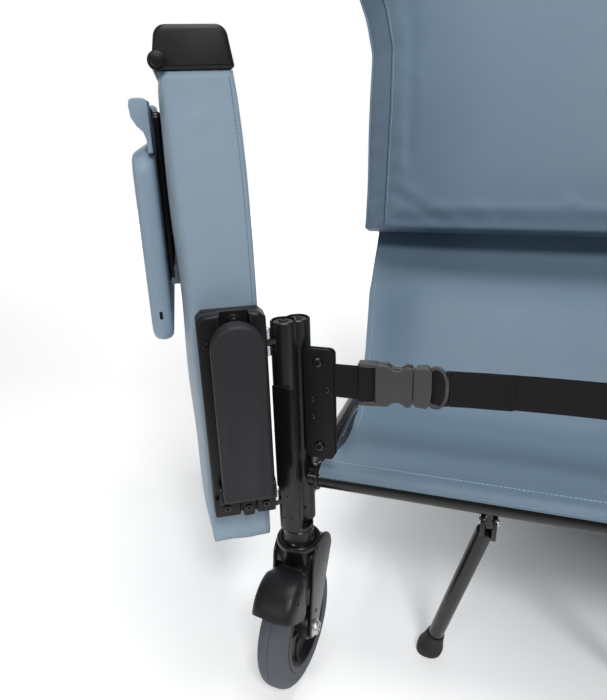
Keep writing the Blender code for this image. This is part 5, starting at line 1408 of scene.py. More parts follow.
@dataclass
class LapStrap:
    """End plates, ribbed webbing and a side-release buckle."""

    place: Matrix
    plate_x: Span = (0.243, 0.276)
    plate_y: float = -0.0015
    plate_z: Span = (0.3048, 0.4348)
    plate: float = 0.003
    plate_edge: float = 0.0006
    rear_plate_x: float = 0.2752
    strap_z: float = 0.3998
    width: float = 0.038
    thickness: float = 0.0022
    bow_depth: float = 0.018
    strap_end: float = 0.255
    buckle_start: float = -0.217
    socket_length: float = 0.056
    plug_length: float = 0.036
    half_height: float = 0.024
    half_depth: float = 0.0065

    @property
    def strap_y(self) -> float:
        """The webbing's middle plane at its ends."""
        return self.plate_y + CLEARANCE + self.thickness / 2

    def line(self, x: float) -> float:
        """How far back the strap lies at a place across the chair."""
        share = min(abs(x) / self.plate_x[0], 1.0)
        return self.strap_y + self.bow_depth * (1 - share * share) ** 2

    def build(self) -> None:
        """Builds the plates, webbing and buckle."""
        for side in Side:
            self.build_plate(side)
        end = self.buckle_start + self.socket_length + CLEARANCE + self.plug_length
        self.build_webbing("right_belt", -self.strap_end, self.buckle_start - CLEARANCE, None)
        self.build_webbing("left_belt", end - 0.0040, self.strap_end, end + 0.062)
        self.build_buckle(end)

    def build_plate(self, side: Side) -> None:
        """The two riveted plates that hold one end of the strap.

        Args:
            side: Which end.
        """
        low, high = self.plate_x
        foot, top = self.plate_z
        place = self.place @ Matrix.Diagonal((side.value, 1, 1, 1))
        mould = Mould(f"{side.label}_strap_plate", place).use(SATIN_STEEL)
        middle = ((low + high) / 2, (foot + top) / 2)
        face = self.plate_y - self.plate
        shape = rounded(high - low, top - foot, 0.006, middle)
        mould.slab(shape, face, self.plate_y, Plane.XZ, self.plate_edge)
        back, outer = self.strap_y + self.thickness / 2 + CLEARANCE, self.rear_plate_x
        centre = ((low + outer - 0.001) / 2, middle[1] + 0.0005)
        shape = rounded(outer - low + 0.001, top - foot - 0.001, 0.006, centre)
        mould.slab(shape, back, back + self.plate, Plane.XZ, self.plate_edge)
        rivet, levels = high - 0.0165, (foot + 0.0155, top - 0.0145)
        for z in levels:
            mould.screw((rivet, face + 0.0002, z), FORWARD, 0.0056, Drive.HEX, BLACK_ZINC)
        for x, z in ((low + 0.0065, foot + 0.0850), (high - 0.0095, foot + 0.0720), (high - 0.0095, foot + 0.0520)):
            mould.screw((x, face + 0.0002, z), FORWARD, 0.0034, Drive.CROSS, BLACK_ZINC)
        mould.use(SATIN_STEEL)
        reach = back + self.plate - self.plate_y
        for z in (levels[0], self.strap_z, levels[1]):
            mould.turned([(0.0040, 0.0), (0.0040, reach)], (rivet, self.plate_y, z), REARWARD, 20)
        hole = (low + 0.0040, face + 0.0001, foot + 0.0460)
        # The hole is a near-black disc: painted shade.
        mould.use(RECESS_PAINTED_SHADE).turned([(0.0014, 0.0), (0.0014, 0.0004), (0.0, 0.0004)], hole, FORWARD, 16)
        mould.piece("base", f"{side.label}_belt_plate")

    def band(self, mould: Mould, start: float, end: float, lift: float = 0.0) -> None:
        """Adds a run of webbing with rolled selvedges.

        Args:
            mould: The piece in the making.
            start: Where it starts across the chair.
            end: Where it ends.
            lift: How far it lies in front of the strap's own line.
        """
        half, t = self.width / 2, self.thickness / 2
        rib = [(-half, -t * 0.4), (-half + 0.0008, -t), (-half + 0.0022, -t * 0.8)]
        section = rib + [(-z, y) for z, y in rib[::-1]]
        section += [(-z, -y) for z, y in section]
        steps = max(int(abs(end - start) / 0.006), 4)
        rings = []
        for index in range(steps + 1):
            x = start + (end - start) * index / steps
            sway = 0.0006 * math.sin(38 * x) * min(index, steps - index) / steps
            rings.append([Vector((x, self.line(x) - lift + y, self.strap_z + z + sway)) for z, y in section])
        mould.loft(rings)

    def build_webbing(self, node: str, start: float, end: float, doubled: float | None) -> None:
        """One length of webbing, doubled back by its buckle where it is adjusted.

        Args:
            node: The CAD node it stands for.
            start: Where it starts across the chair.
            end: Where it ends.
            doubled: Where its doubled part ends, if it has one.
        """
        mould = Mould(f"{node}_webbing", self.place).use(WEBBING)
        self.band(mould, start, end)
        if doubled:
            self.band(mould, start + 0.0046, doubled, 0.0027)
            mould.use(HUB_BLACK)
            for x in (doubled - 0.008, doubled - 0.004):
                line = [Vector((x, self.line(x) - 0.0039, self.strap_z - 0.016 + 0.032 * i / 8)) for i in range(9)]
                mould.stitches(line, 0.003, 0.0006)
        mould.piece("base", node)

    def build_buckle(self, end: float) -> None:
        """Socket with side openings, and the plug with its prongs and bars.

        Args:
            end: Where the plug ends across the chair.
        """
        start = self.buckle_start
        slope = math.atan2(self.line(end) - self.line(start), end - start)
        turn = Matrix.Rotation(slope, 4, "Z")
        place = self.place @ Matrix.Translation((start, self.line(start), self.strap_z)) @ turn
        length, tall, deep = self.socket_length, self.half_height, self.half_depth
        mould = Mould("buckle_socket_shell", place).use(BUCKLE_GREY)
        upper = [(0.0180, 0.0), (0.0180, tall - 0.0035), *bow((0.0205, tall - 0.0035), 0.0025, 180, 90, 3),
                 (0.030, tall - 0.0008), *bow((0.0405, tall + 0.0045), 0.0105, 215, 325, 12), (0.0505, tall - 0.0014),
                 *bow((length - 0.003, tall - 0.0048), 0.003, 90, 0, 3), (length, 0.0)]
        outline = upper + [(a, -b) for a, b in upper[-2:0:-1]]
        for low, high in ((-deep, -0.0029), (0.0029, deep)):
            mould.slab(outline, low, high, Plane.XZ, 0.0016)
        mould.brick((0.0175, -deep + 0.0010, -tall + 0.0014), (0.0290, deep - 0.0010, tall - 0.0014), 0.0012)
        for sign in (-1, 1):
            rail = rounded(0.0205, 0.0046, 0.0020, (0.0103, sign * (tall - 0.0024)), 4)
            mould.slab(rail, -deep + 0.0008, deep - 0.0008, Plane.XZ, 0.0012)
        mould.slab(rounded(0.0045, 2 * tall - 0.002, 0.0020, (0.0030, 0.0), 4), -0.0030, 0.0030, Plane.XZ, 0.0012)
        line = ((0.0172, -0.0012), (0.0120, -0.0040), (0.0060, -0.0056), (0.0030, -0.0058), (0.0008, -0.0046),
                (0.0002, -0.0024))
        self.fold(mould, line, tall - 0.0052, (0.0004, 0.0020))
        mould.use(BUCKLE_GREY)
        for z in (-0.0125, 0.0125):
            mould.brick((0.0500, -deep - 0.0004, z - 0.0060), (0.0520, -deep + 0.001, z + 0.0060), 0.0004)
        mould.piece("base", "buckle_socket")
        self.build_plug(place, (end - start) / math.cos(slope))

    def fold(self, mould: Mould, line: Sequence[Point2], half: float, step: Point2) -> None:
        """Adds the webbing that runs round one of the buckle's bars.

        Args:
            mould: The half of the buckle in the making.
            line: The (x, y) points that its front follows.
            half: Half its width.
            step: From its front to its back, along x and y.
        """
        mould.use(WEBBING)
        levels = (-half, 0, half)
        rings = []
        for x, y in line:
            front = [Vector((x, y, z)) for z in levels]
            rings.append(front + [Vector((x + step[0], y + step[1], z)) for z in levels[::-1]])
        mould.loft(rings)

    def build_plug(self, place: Matrix, tip: float) -> None:
        """The plug: shoulders, prongs and the ring end that the strap runs through.

        Args:
            place: The buckle's axes.
            tip: The ring end's place along the buckle.
        """
        length, tall, deep = self.socket_length, self.half_height, self.half_depth
        mould = Mould("buckle_plug_shell", place).use(BUCKLE_GREY)
        first = length + 0.0004
        half = [(first, tall - 0.0060), (first + 0.0030, tall - 0.0024), (first + 0.0140, tall - 0.0010),
                (first + 0.0180, tall - 0.0060)]
        shoulder = [(x, -z) for x, z in half] + [(first + 0.0190, 0.0)] + half[::-1]
        mould.slab(shoulder, -deep + 0.0006, deep - 0.0006, Plane.XZ, 0.0018)
        mould.slab(rounded(0.038, 0.028, 0.004, (length - 0.015, 0.0)), -0.0023, 0.0023, Plane.XZ, 0.0006)
        prong = ((0.004, 0.0125), (0.004, 0.0170), (0.016, 0.0195), (0.026, 0.0185), (0.030, 0.0150), (0.028, 0.0120))
        for sign in (-1, 1):
            mould.slab([(length - x, sign * z) for x, z in prong], -0.0024, 0.0024, Plane.XZ, 0.0006)
        middle, wide, high = (first + tip) / 2 + 0.0050, (tip - first) / 2 - 0.0075, tall - 0.0022
        ring = []
        for step in range(41):
            angle = 2 * math.pi * step / 40
            spread = math.copysign(abs(math.sin(angle)) ** 0.8, math.sin(angle))
            ring.append(Vector((middle + wide * math.cos(angle), -0.0012 - 0.0020 * math.cos(angle), high * spread)))
        mould.tube(ring, 0.0022, 12)
        line = ((first + 0.0170, 0.0004), (middle - 0.003, -0.0010), (middle + 0.004, -0.0036),
                (tip - 0.0030, -0.0046), (tip - CLEARANCE, -0.0034))
        self.fold(mould, line, tall - 0.0056, (0.0, 0.0032))
        mould.piece("base", "buckle_plug")


@dataclass
class Sling:
    """The sling seat that runs from the front tube up to the back, and its corner tabs, painted dark as painted
    shade.
    """

    place: Matrix
    thickness: float = 0.0034
    sag: float = 0.020
    pad_rise: float = 0.011
    back_y: float = 0.445
    widths: tuple[Point2, ...] = ((0.0, 0.2593), (0.100, 0.2593), (0.200, 0.268), (0.445, 0.308))
    route: tuple[Point2, ...] = (
        (-0.0113, 0.2883), (-0.0088, 0.2906), (-0.0058, 0.2923), (-0.0026, 0.2933), (0.0009, 0.2935),
        (0.0167, 0.2904), (0.0350, 0.2863), (0.0633, 0.2784), (0.1000, 0.2698), (0.1478, 0.2613),
        (0.2000, 0.2568), (0.2500, 0.2594), (0.3000, 0.2718), (0.3503, 0.3005), (0.4000, 0.3378),
        (0.4518, 0.3814), (0.4950, 0.4218), (0.5144, 0.4450), (0.5257, 0.4629), (0.5307, 0.4664),
        (0.5367, 0.4676), (0.5426, 0.4663), (0.5475, 0.4627), (0.5493, 0.4602))
    tab_foot: tuple[Point2, ...] = ((0.053, 0.0006), (0.085, 0.0006), (0.120, 0.0090), (0.153, 0.0315))
    tab_head: tuple[Point2, ...] = ((0.053, 0.0026), (0.070, 0.0140), (0.091, 0.0235), (0.120, 0.0320),
                                    (0.153, 0.0345))
    tab_width: float = 0.024
    pucker: float = 0.0008
    edge_turn: float = 0.0085
    lean: Point2 = (0.62, 0.78)
    turn_from: float = 0.262
    turn_to: float = 0.372

    def surface(self, share: float, y: float, z: float) -> Vector:
        """A point of the cloth.

        Args:
            share: Its place across the cloth, from -1 to 1.
            y: Its row's place along the chair.
            z: Its row's height.

        Returns:
            The point, in the chair's axes.
        """
        fall = math.sin(math.pi * min(max(y / self.back_y, 0.0), 1.0)) ** 2
        drop = self.sag * fall * (1 - abs(share) ** 2.8)
        pull = self.pucker * fall * math.sin(9 * share + 21 * y) * (1 - share ** 8)
        swell = self.pad_rise * ease((y - 0.25) / 0.10) * ease((0.485 - y) / 0.07) * ease((0.95 - abs(share)) / 0.24)
        turned = self.edge_turn * ease((abs(share) - 0.60) / 0.40)
        turned *= ease((y - 0.28) / 0.08) * ease((0.50 - y) / 0.05)
        back, rise = self.lean
        y_out, z_out = y - back * swell + back * turned, z - drop + pull + rise * swell - rise * turned
        return Vector((share * between(self.widths, y), y_out, z_out))

    def bend(self, made: bpy.types.Object) -> None:
        """Bakes a finished piece's placement into its mesh.

        Args:
            made: The piece.
        """
        first, last = (self.place @ Vector((0, y, 0.27)) for y in (self.turn_from, self.turn_to))
        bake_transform(made)

    def rows(self) -> list[Point2]:
        """The route with points added along its long runs.

        Returns:
            The (y, z) points.
        """
        out = [self.route[0]]
        for first, second in zip(self.route, self.route[1:]):
            steps = max(int(math.dist(first, second) / 0.011), 1)
            for step in range(1, steps + 1):
                out.append((first[0] + (second[0] - first[0]) * step / steps,
                            first[1] + (second[1] - first[1]) * step / steps))
        return out

    def build(self) -> None:
        """The cloth, its hems and stitching, and the tabs."""
        columns = [i / 44 * 2 - 1 for i in range(45)]
        rows = self.rows()
        upper = [[self.surface(share, y, z) for share in columns] for y, z in rows]
        rings = []
        for index, row in enumerate(upper):
            before, after = upper[max(index - 1, 0)], upper[min(index + 1, len(upper) - 1)]
            along = [b - a for a, b in zip(before, after)]
            half = [Vector((0, -step.z, step.y)).normalized() * (self.thickness / 2) for step in along]
            top = [here + step for here, step in zip(row, half)]
            under = [here - step for here, step in zip(row, half)]
            rings.append(top + under[::-1])
        mould = Mould("sling_cloth", self.place).use(SEAT_VINYL)
        mould.loft(rings)
        cloth = mould.bare(60.0)
        self.bend(cloth)
        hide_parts("seat_sling", "back_sling")
        area = sum(math.dist(a, b) * 2 * between(self.widths, (a[0] + b[0]) / 2) for a, b in zip(rows, rows[1:]))
        self.build_hem(rows)
        LOG.info("%s bends between base and back", cloth.name)
        for side in Side:
            self.build_tab(side)

    def build_hem(self, rows: Sequence[Point2]) -> None:
        """The front hem's roll, and the sewn lines of the front and side hems.

        Args:
            rows: The route's points.
        """
        mould = Mould("sling_front_hem", self.place).use(SEAT_VINYL)
        half = self.widths[0][1] - 0.0015
        ends = [Vector((-half + 2 * half * i / 40, 0.0, 0.0)) for i in range(41)]
        y, z = rows[0]
        mould.tube([point + Vector((0, y - 0.0004, z - 0.0002)) for point in ends], 0.0026, 10)
        mould.use(SEAT_THREAD)
        mould.stitches([point + Vector((0, 0.0105, 0.2936)) for point in ends])
        mould.piece("base")
        mould = Mould("sling_side_stitching", self.place).use(SEAT_THREAD)
        for sign in (-1, 1):
            line = [self.surface(sign * 0.972, y, z) for y, z in rows[6:-12]]
            mould.stitches([point + Vector((0, -0.0012, self.thickness / 2)) for point in line])
        self.bend(mould.bare())

    def build_tab(self, side: Side) -> None:
        """One corner tab behind the post, painted dark as painted shade, with its scooped lower edge.

        Args:
            side: Which tab.
        """
        low, high = (Vector(corner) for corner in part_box(f"{side.label}_sling_tab"))
        place = Matrix.Translation(((low.x + high.x) / 2, 0, 0))
        length, front = high.y - low.y, self.place.translation.y
        rows = []
        for i in range(19):
            y = low.y + 0.048 + (length - 0.050) * i / 18
            hem = between(self.route, y - front)
            rows.append((y, hem + between(self.tab_foot, y - front), hem + between(self.tab_head, y - front)))
        rings = []
        for y, foot, head in rows:
            ring = []
            for x, shares in ((-0.0009, range(7)), (0.0009, range(6, -1, -1))):
                for k in shares:
                    z = foot + (head - foot) * k / 6
                    ring.append(Vector((x + 0.0004 * math.sin(60 * y + 40 * z), y, z)))
            rings.append(ring)
        # The tab is painted dark: painted shade behind the post.
        mould = Mould(f"{side.label}_corner_tab", place).use(TAB_VINYL_PAINTED_SHADE)
        mould.loft(rings)
        mould.use(SEAT_THREAD)
        for x in (-0.0013, 0.0013):
            mould.stitches([Vector((x, y, head - 0.003)) for y, _, head in rows[4:]])
        made = mould.piece("base", f"{side.label}_sling_tab")
        rows[-1][0] - rows[0][0]
        sum((rows[1][0] - rows[0][0]) * (head - foot) for _, foot, head in rows[:-1])


@dataclass
class Back:
    """The reclining back's cushion and its sewn border."""

    place: Matrix
    height: float = 0.760
    thickness: float = 0.0745
    waist: tuple[Point2, ...] = ((0.00, 0.325), (0.20, 0.330), (0.30, 0.335), (0.36, 0.350), (0.44, 0.380),
                                 (0.54, 0.395), (0.76, 0.395))
    corner: float = 0.080
    border: float = 0.038
    border_depth: float = 0.034
    side_draw: float = 1.35
    end_draw: float = 1.25
    end_gap: float = 0.004

    def half_width(self, up: float) -> float:
        """Half the cushion's width.

        Args:
            up: The height along it.

        Returns:
            The half width there.
        """
        half = between(self.waist, up) - 0.0008
        into = up - (self.height - self.corner)
        if into > 0:
            half -= self.corner - math.sqrt(max(self.corner ** 2 - into ** 2, 0.0))
        return half

    def face(self, across: float, through: float, up: float) -> Vector:
        """A point of the cover.

        Args:
            across: Its place across the cushion, from -1 to 1.
            through: Its place from front to back.
            up: Its place up the cushion.

        Returns:
            The point, in the back's axes.
        """
        share = math.copysign(1 - (1 - abs(across)) ** self.side_draw, across)
        rise = math.copysign(1 - (1 - abs(up)) ** self.end_draw, up)
        height = self.end_gap + (self.height - 2 * self.end_gap) * (rise + 1) / 2
        half = self.half_width(height)
        depth = self.thickness * (through + 1) / 2
        if through < 1:
            edge = min((1 - abs(share)) * half, 0.25)
            ends = min(height, self.height - height)
            near = min(edge, (self.height - height) * 2.6)
            front = self.border_depth * max(1 - near / self.border, 0.0) + 0.010 * (1 - ease(near / 0.20))
            front += 0.005 * max(1 - height / 0.012, 0.0) ** 2
            front += 0.0022 * math.exp(-((near - self.border) / 0.0035) ** 2)
            front += 0.0050 * math.exp(-((edge - 0.070) / 0.012) ** 2) * ease(ends / 0.2)
            tuck = math.exp(-((height - 0.052) / 0.020) ** 2) * math.exp(-((edge - 0.085) / 0.035) ** 2)
            front += 0.0018 * tuck * math.sin(95 * edge + 140 * height)
            depth = front + (self.thickness - front) * (through + 1) / 2
        wave = 0.0015 * math.sin(24 * height) * (abs(share) > 0.98)
        return Vector((share * half + wave, depth, height))

    def held(self, across: float, through: float, up: float) -> float:
        """How firmly the cover is held at a point.

        Args:
            across: Its place across the cushion, from -1 to 1.
            through: Its place from front to back.
            up: Its place up the cushion.

        Returns:
            The hold, from 0 to 1.
        """
        if through == 1 or abs(across) == 1 or abs(up) == 1:
            return 1.0
        if up < -0.90:
            return 0.5
        edge = (1 - abs(across)) ** self.side_draw * 0.36
        return 0.6 if abs(edge - self.border) < 0.006 else 0.05

    def build(self) -> None:
        """The cushion and its seam."""
        pad = Pad("back_cushion_cover", self.place, SEAT_VINYL, (60, 4, 56), self.face, self.held, 4.0, 0.010, 16,
                  lambda across, through, up: 0.80 if abs(across) == 1 or up == -1 else 0.45)
        made = pad.build()
        self.build_piping(made)
        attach(made, "back")
        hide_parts("back_cushion")
        LOG.info("%s swells on its board", made.name)

    def seam(self, sign: int, inside: float) -> list[Vector]:
        """A line up the cover beside the border's seam.

        Args:
            sign: Which side of the cushion.
            inside: How far from the seam toward the middle.

        Returns:
            The line's points.
        """
        line = []
        for step in range(90):
            height = 0.009 + (self.height - 0.110) * step / 89
            across = 1 - ((self.border + inside) / self.half_width(height)) ** (1 / self.side_draw)
            rise = 2 * (height - self.end_gap) / (self.height - 2 * self.end_gap) - 1
            up = math.copysign(1 - (1 - abs(rise)) ** (1 / self.end_draw), rise)
            line.append(self.face(sign * across, -1, up))
        return line

    def build_piping(self, cover: bpy.types.Object) -> None:
        """The cord down the border's outer edge, and the border's seam: a dark line of painted shade with its
        stitches.

        Args:
            cover: The cushion's cover.
        """
        mould = Mould("back_border_cord", self.place).use(SEAT_VINYL)
        for sign in (-1, 1):
            line = [self.face(sign, -1, -0.985 + 1.88 * step / 69) for step in range(70)]
            mould.tube(line, 0.0022, 10)
        for sign in (-1, 1):
            mould.use(SEAM_SHADE).tube(settle(self.seam(sign, 0.0), self.place, cover, 0.0), 0.0008, 8)
            mould.use(SEAT_THREAD).stitches(settle(self.seam(sign, 0.0042), self.place, cover, 0.0004))
        mould.piece("back")


@dataclass
class Caster:
    """A swivel caster: fork with its dished crown, axle bolt, wheel and, at the front, a hood."""

    name: str
    place: Matrix
    hooded: bool
    wheel_radius: float = 0.0762
    trail: float = 0.022
    crown: tuple[float, float, float] = (0.1603, 0.1903, 0.2118)
    leg: Span = (0.023, 0.027)
    hood_from: float = 43.0
    hood_span: float = 50.0
    hood_swell: float = 0.0130
    hood_wall: float = 0.0022
    crest_share: float = 0.62

    @property
    def axle(self) -> Vector:
        """The axle's place."""
        return Vector((0, -self.trail, self.wheel_radius))

    def build(self) -> None:
        """Fork, wheel and hood."""
        self.build_fork()
        self.build_wheel()
        if self.hooded:
            self.build_hood()

    def build_fork(self) -> None:
        """Crown, shoulders, legs, stem and axle bolt."""
        low, top, neck = self.crown
        inner, outer = self.leg
        mould = Mould(f"{self.name}_caster_fork", self.place).use(BLACK_STEEL)
        profile = [(0.0, low + 0.0006), (0.0235, low + 0.0006), (0.0248, low + 0.004), (0.0250, top - 0.010),
                   (0.0262, top - 0.0082), (0.0270, top - 0.0066), (0.0270, top - 0.0026), (0.0262, top - 0.0008),
                   (0.0248, top), (0.0222, top), (0.0208, top - 0.0012), (0.0196, top + 0.0006),
                   (0.0180, top + 0.004), (0.0180, neck - 0.0070), (0.0172, neck - 0.0062), (0.0172, neck - 0.0050),
                   (0.0180, neck - 0.0042), (0.0180, neck - 0.0010), (0.0172, neck), (0.0060, neck),
                   (0.0060, neck + 0.019), (0.0052, neck + 0.020), (0.0, neck + 0.020)]
        mould.turned(profile, (0, 0, 0), UPWARD, 56)
        slope = math.degrees(math.atan2(self.trail, low - self.wheel_radius))
        leg = bow((0.009, low), 0.029, 180, 0, 22)
        leg += bow((-self.trail, self.wheel_radius), 0.013, -slope, -slope - 180, 16)
        for sign in (-1, 1):
            near, far = sorted((sign * inner, sign * outer))
            mould.slab(leg, near, far, Plane.YZ, 0.0012)
        dome = bow((0.009, low), 0.027, 0, 180, 18)
        mould.slab(dome, -inner - 0.0006, inner + 0.0006, Plane.YZ, 0.0005)
        level = (-self.trail, self.wheel_radius)
        slot = rounded(0.0030, 0.0068, 0.0014, (-0.0165, self.wheel_radius + 0.0215), 4)
        for sign in (-1, 1):
            washer = [(0.0104, 0.0), (0.0104, 0.0010), (0.0098, 0.0013)]
            mould.use(ZINC).turned(washer, (sign * (outer - 0.0004), *level), (sign, 0, 0), 32)
            mould.screw((sign * (outer + 0.0008), *level), (sign, 0, 0), 0.0086, Drive.HEX, ZINC)
            # The axle slot is a near-black sheet: painted shade.
            mould.use(RECESS_PAINTED_SHADE).slab(slot, sign * outer - 0.0002, sign * outer + 0.0002, Plane.YZ, 0.0001)
        mould.use(ZINC).turned([(0.0050, 0.0), (0.0050, 2 * outer)], (-outer, *level), ACROSS, 24)
        mould.piece(f"{self.name}_fork", f"{self.name}_fork")

    def build_wheel(self) -> None:
        """Slate tyre with its parting groove, on a dished hub."""
        r = self.wheel_radius
        half = [(0.0, r - 0.0008), (0.0006, r - 0.0001), (0.0040, r), (0.0085, r - 0.0007), (0.0125, r - 0.0028),
                (0.0155, r - 0.0062), (0.0172, r - 0.0105), (0.0176, r - 0.0140), (0.0170, r - 0.0152),
                (0.0176, r - 0.0164), (0.0177, r - 0.0200), (0.0170, r - 0.0217)]
        profile = [(radius, -x) for x, radius in half[::-1]] + [(radius, x) for x, radius in half[1:]]
        axes = (ACROSS, REARWARD, UPWARD)
        mould = Mould(f"{self.name}_caster_tyre", self.place).use(TYRE_SLATE)
        mould.spun(profile, self.axle, axes, 72)
        mould.piece(f"{self.name}_wheel", f"{self.name}_tyre")
        rim = r - 0.022
        half = [(rim, 0.0176), (rim - 0.0030, 0.0180), (rim - 0.0062, 0.0172), (rim - 0.0082, 0.0140),
                (rim - 0.0140, 0.0084), (0.0225, 0.0068), (0.0185, 0.0082), (0.0163, 0.0150), (0.0158, 0.0215),
                (0.0148, 0.0226), (0.0054, 0.0226)]
        mould = Mould(f"{self.name}_caster_hub", self.place).use(HUB_BLACK)
        mould.spun(half + [(radius, -x) for radius, x in half[::-1]], self.axle, axes, 60)
        for sign in (-1, 1):
            for spoke in range(6):
                angle = math.pi * spoke / 3
                points = [self.axle + Vector((sign * x, q * math.cos(angle), q * math.sin(angle)))
                          for q, x in ((0.017, 0.0105), (0.026, 0.0068), (0.038, 0.0082), (0.045, 0.0128))]
                mould.tube(points, 0.0022, 10)
        mould.piece(f"{self.name}_wheel", f"{self.name}_hub")

    def build_hood(self) -> None:
        """The fat moulded hood over the wheel's front, held under the crown."""
        mould = Mould(f"{self.name}_caster_hood", self.place).use(HOOD_BLACK)
        rings = []
        for step in range(31):
            turn = self.hood_from + self.hood_span * step / 30
            swell = self.hood_swell * math.sin(math.pi * min((turn - 37) / 52, 1.0)) ** 0.7
            skirt = 0.047 + 0.017 * ease((turn - 55) / 32)
            ring = []
            for wall, arc in ((0.0, range(19)), (self.hood_wall, range(18, -1, -1))):
                crest = self.wheel_radius + 0.0052 + swell - wall
                for k in arc:
                    pulled = 9 * abs(k / 9 - 1) ** 3 * (1 - step / 30) ** 2
                    ring.append(self.hood_point(math.radians(turn + pulled), k / 9 - 1, skirt, crest, wall))
            rings.append(ring)
        mould.loft(rings)
        foot = (-0.014, -self.trail - 0.004, 2 * self.wheel_radius + 0.0040)
        mould.brick(foot, (0.014, 0.010, self.crown[0] - CLEARANCE), 0.0010)
        # The hood's holes are near-black discs: painted shade.
        mould.use(RECESS_PAINTED_SHADE)
        for sign in (-1, 1):
            at = self.hood_point(math.radians(60), sign * 0.55, 0.050, self.wheel_radius + 0.0150, 0.0)
            out = (at - self.axle).normalized() * 0.4 + Vector((sign * 0.9, 0, 0))
            mould.turned([(0.0020, -0.0004), (0.0020, 0.0005), (0.0, 0.0005)], at, out, 18)
        mould.piece(f"{self.name}_fork", f"{self.name}_fender")

    def hood_point(self, angle: float, share: float, skirt: float, crest: float, wall: float) -> Vector:
        """A point of the hood's skin.

        Args:
            angle: How far round the wheel, from level at the front.
            share: From -1 at one skirt's edge over the crest to 1 at the other.
            skirt: The skirts' radius from the axle.
            crest: The crest's radius.
            wall: How far inside the outer skin it lies.

        Returns:
            The point, in the caster's axes.
        """
        over = min(abs(share) / self.crest_share, 1.0)
        down = max(abs(share) - self.crest_share, 0.0) / (1 - self.crest_share)
        round_off = math.sqrt(max(1 - over ** 2.6, 0.0))
        shoulder = crest - 0.0150
        radius = shoulder + (crest - shoulder) * round_off - (shoulder - skirt) * down
        if abs(share) < 0.06:
            radius -= 0.0005
        y = -self.trail - radius * math.cos(angle)
        half = 0.0223 + 0.0036 * ease((-0.0345 - y) / 0.010) - wall
        wide = math.copysign(half * math.sin(math.pi / 2 * over) ** 0.9, share) if share else 0.0
        return Vector((wide, y, self.wheel_radius + radius * math.sin(angle)))


@dataclass
class PropLeg:
    """A folding prop leg with its rubber ferrule."""

    side: Side
    hinge: Vector
    splay: float = 0.060
    rake: float = 0.055
    radius: float = 0.0095

    def build(self) -> None:
        """The leg with its forked head, and the ferrule on the floor."""
        label = self.side.label
        foot = Vector((self.side.value * self.splay, self.rake, -self.hinge.z))
        down = foot.normalized()
        place = Matrix.Translation(self.hinge)
        mould = Mould(f"{label}_prop_tube", place).use(BLACK_STEEL)
        r, length = self.radius, foot.length - 0.0063
        profile = [(0.0060, 0.0135), (r - 0.0006, 0.0150), (r, 0.0175), (r, length - 0.001), (r - 0.001, length),
                   (0.0, length)]
        mould.turned(profile, (0, 0, 0), down, 40)
        tail = down * 0.022
        cheek = bow((0, 0), 0.0094, 20, 160, 12) + [(tail.y - 0.0088, tail.z), (tail.y + 0.0088, tail.z)]
        for sign in (-1, 1):
            inner, outer = sorted((sign * 0.0034, sign * 0.0086))
            mould.slab(cheek, inner, outer, Plane.YZ, 0.0008)
            mould.screw((sign * 0.0084, 0, 0), (sign, 0, 0), 0.0042, Drive.BLANK, ZINC).use(BLACK_STEEL)
        mould.piece(f"{label}_prop", f"{label}_prop_leg")
        self.build_ferrule(label, foot, down)

    def build_ferrule(self, label: str, foot: Vector, down: Vector) -> None:
        """The ferrule: a ribbed sleeve that spreads to a flat pad.

        Args:
            label: The side's word.
            foot: The floor point under the leg, from its hinge.
            down: The leg's direction.
        """
        mould = Mould(f"{label}_prop_ferrule", Matrix.Translation(self.hinge)).use(TIP_RUBBER)
        length = foot.length
        side = down.orthogonal().normalized()
        other = down.cross(side)
        profile = [(0.0097, -0.0415), (0.0106, -0.0420), (0.0112, -0.0410), (0.0122, -0.0330), (0.0138, -0.0235),
                   (0.0156, -0.0165), (0.0160, -0.0155), (0.0163, -0.0140), (0.0164, -0.0070), (0.0158, 0.0005),
                   (0.0148, 0.0030)]
        rings = [hoop(down * (length + at), side, other, radius, 40) for radius, at in profile]
        floor = [point + down * ((foot.z - point.z) / down.z) for point in rings[-1]]
        rings[-1] = [point + Vector((0, 0, 0.0012)) for point in floor]
        for ring in rings:
            for point in ring:
                point.z = max(point.z, foot.z + 0.0012)
        rings.append([foot + (point - foot) * 0.93 for point in floor])
        mould.loft(rings)
        mould.piece(f"{label}_prop", f"{label}_prop_tip")


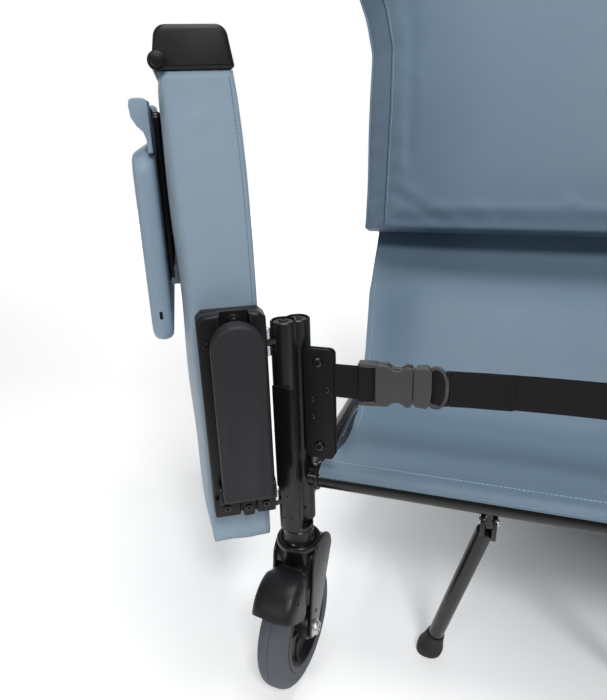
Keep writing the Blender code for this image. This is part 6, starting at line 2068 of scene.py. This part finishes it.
@dataclass
class Base:
    """Tubes and plates that keep their CAD shape, with rounded edges and a finish."""

    places: Places
    frame: dict
    weld_within: float = 2e-5
    round_edge: float = 0.0007
    round_from: float = 50.0
    seat_tube_z: float = 0.2788
    seat_tube_radius: float = 0.0127
    grip_half: float = 0.150

    def build(self) -> None:
        """Dresses each kept node, and adds the seat tube and the handle's grip."""
        steel = ["rear_cross_tube", "recline_cross_tube", "back_lower_tube", "push_handle"]
        for side in Side:
            parts = ("side_rail", "rear_post", "recline_bracket", "back_upright")
            steel += [f"{side.label}_{part}" for part in parts]
        for node in steel:
            self.dress(node, BLACK_STEEL)
        self.dress("back_board", BOARD_GREY)
        self.dress("release_lever", HOUSING_BLACK)
        self.dress("gas_spring_cylinder", BLACK_STEEL)
        self.dress("gas_spring_rod", CHROME)
        self.build_seat_tube()
        self.build_grips()

    def dress(self, node: str, finish: Finish) -> None:
        """Gives a CAD node its finish and rounded edges.

        Args:
            node: The node's name.
            finish: Its finish.
        """
        made = self.frame["nodes"][node]
        made.data.materials.clear()
        made.data.materials.append(finish.make())
        made.data.polygons.foreach_set("material_index", [0] * len(made.data.polygons))
        weld = made.modifiers.new("weld", "WELD")
        weld.merge_threshold = self.weld_within
        edge = made.modifiers.new("edge", "BEVEL")
        edge.width = self.round_edge
        edge.segments = 2
        edge.limit_method = "ANGLE"
        edge.angle_limit = math.radians(self.round_from)
        LOG.info("%s keeps its CAD shape", node)

    def build_seat_tube(self) -> None:
        """The front seat tube with its end rings and the prop legs' tongues."""
        low, high = (Vector(corner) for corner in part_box("front_seat_tube"))
        y, z = self.places.front, self.seat_tube_z
        mould = Mould("seat_front_tube").use(BLACK_STEEL)
        span, r, ring = high.x - low.x, self.seat_tube_radius, 0.009
        profile = [(0.0, 0.0), (r - 0.001, 0.0), (r, 0.001)]
        for start in (ring, span - ring - 0.004):
            profile += [(r, start), (0.0152, start + 0.0002), (0.0160, start + 0.001), (0.0160, start + 0.003),
                        (0.0152, start + 0.0038), (r, start + 0.004)]
        profile += [(r, span - 0.001), (r - 0.001, span), (0.0, span)]
        mould.turned(profile, (low.x, y, z), ACROSS, 44)
        for side in Side:
            hinge = self.places.joint(f"{side.label}_prop_fold")
            tongue = [(y - 0.0078, z - 0.006), (y + 0.0078, z - 0.006), (hinge.y + 0.0076, hinge.z)]
            tongue += bow((hinge.y, hinge.z), 0.0076, 0, -180, 12)
            mould.slab(tongue, hinge.x - 0.0029, hinge.x + 0.0029, Plane.YZ, 0.0005)
            pin = (hinge.x - 0.009, hinge.y, hinge.z)
            mould.use(ZINC).turned([(0.0028, 0.0), (0.0028, 0.018)], pin, ACROSS, 20).use(BLACK_STEEL)
        mould.piece("base", "front_seat_tube")

    def build_grips(self) -> None:
        """A ribbed rubber grip on the push handle's straight run."""
        _, high = (Vector(corner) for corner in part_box("push_handle"))
        mould = Mould("handle_grip").use(TIP_RUBBER)
        start = (-self.grip_half, high.y - 0.0112, high.z - 0.0112)
        length = 2 * self.grip_half
        profile = [(0.0112, 0.0), (0.0132, 0.0008), (0.0140, 0.0030)]
        for rib in range(24):
            x = 0.010 + rib * 0.0121
            profile += [(0.0140, x), (0.0131, x + 0.0012), (0.0131, x + 0.0030), (0.0140, x + 0.0042)]
        profile += [(0.0140, length - 0.003), (0.0132, length - 0.0008), (0.0112, length)]
        mould.turned(profile, start, ACROSS, 32)
        mould.piece("back")


def main() -> None:
    """Builds the studio and the chair's sub-assemblies in order."""
    logging.basicConfig(level=logging.INFO, format="%(name)s: %(message)s")
    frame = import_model()
    places = Places(frame)
    Studio(places).build()
    Base(places, frame).build()
    for side in Side:
        FrontPost(side, places.post(side)).build()
        Arm(side, places.arm(side)).build()
        PropLeg(side, places.joint(f"{side.label}_prop_fold")).build()
        for end in ("front", "rear"):
            name = f"{side.label}_{end}"
            Caster(name, places.caster(name), end == "front").build()
    LapStrap(places.chair()).build()
    Sling(places.chair()).build()
    Back(places.back()).build()


if __name__ == "__main__":
    main()
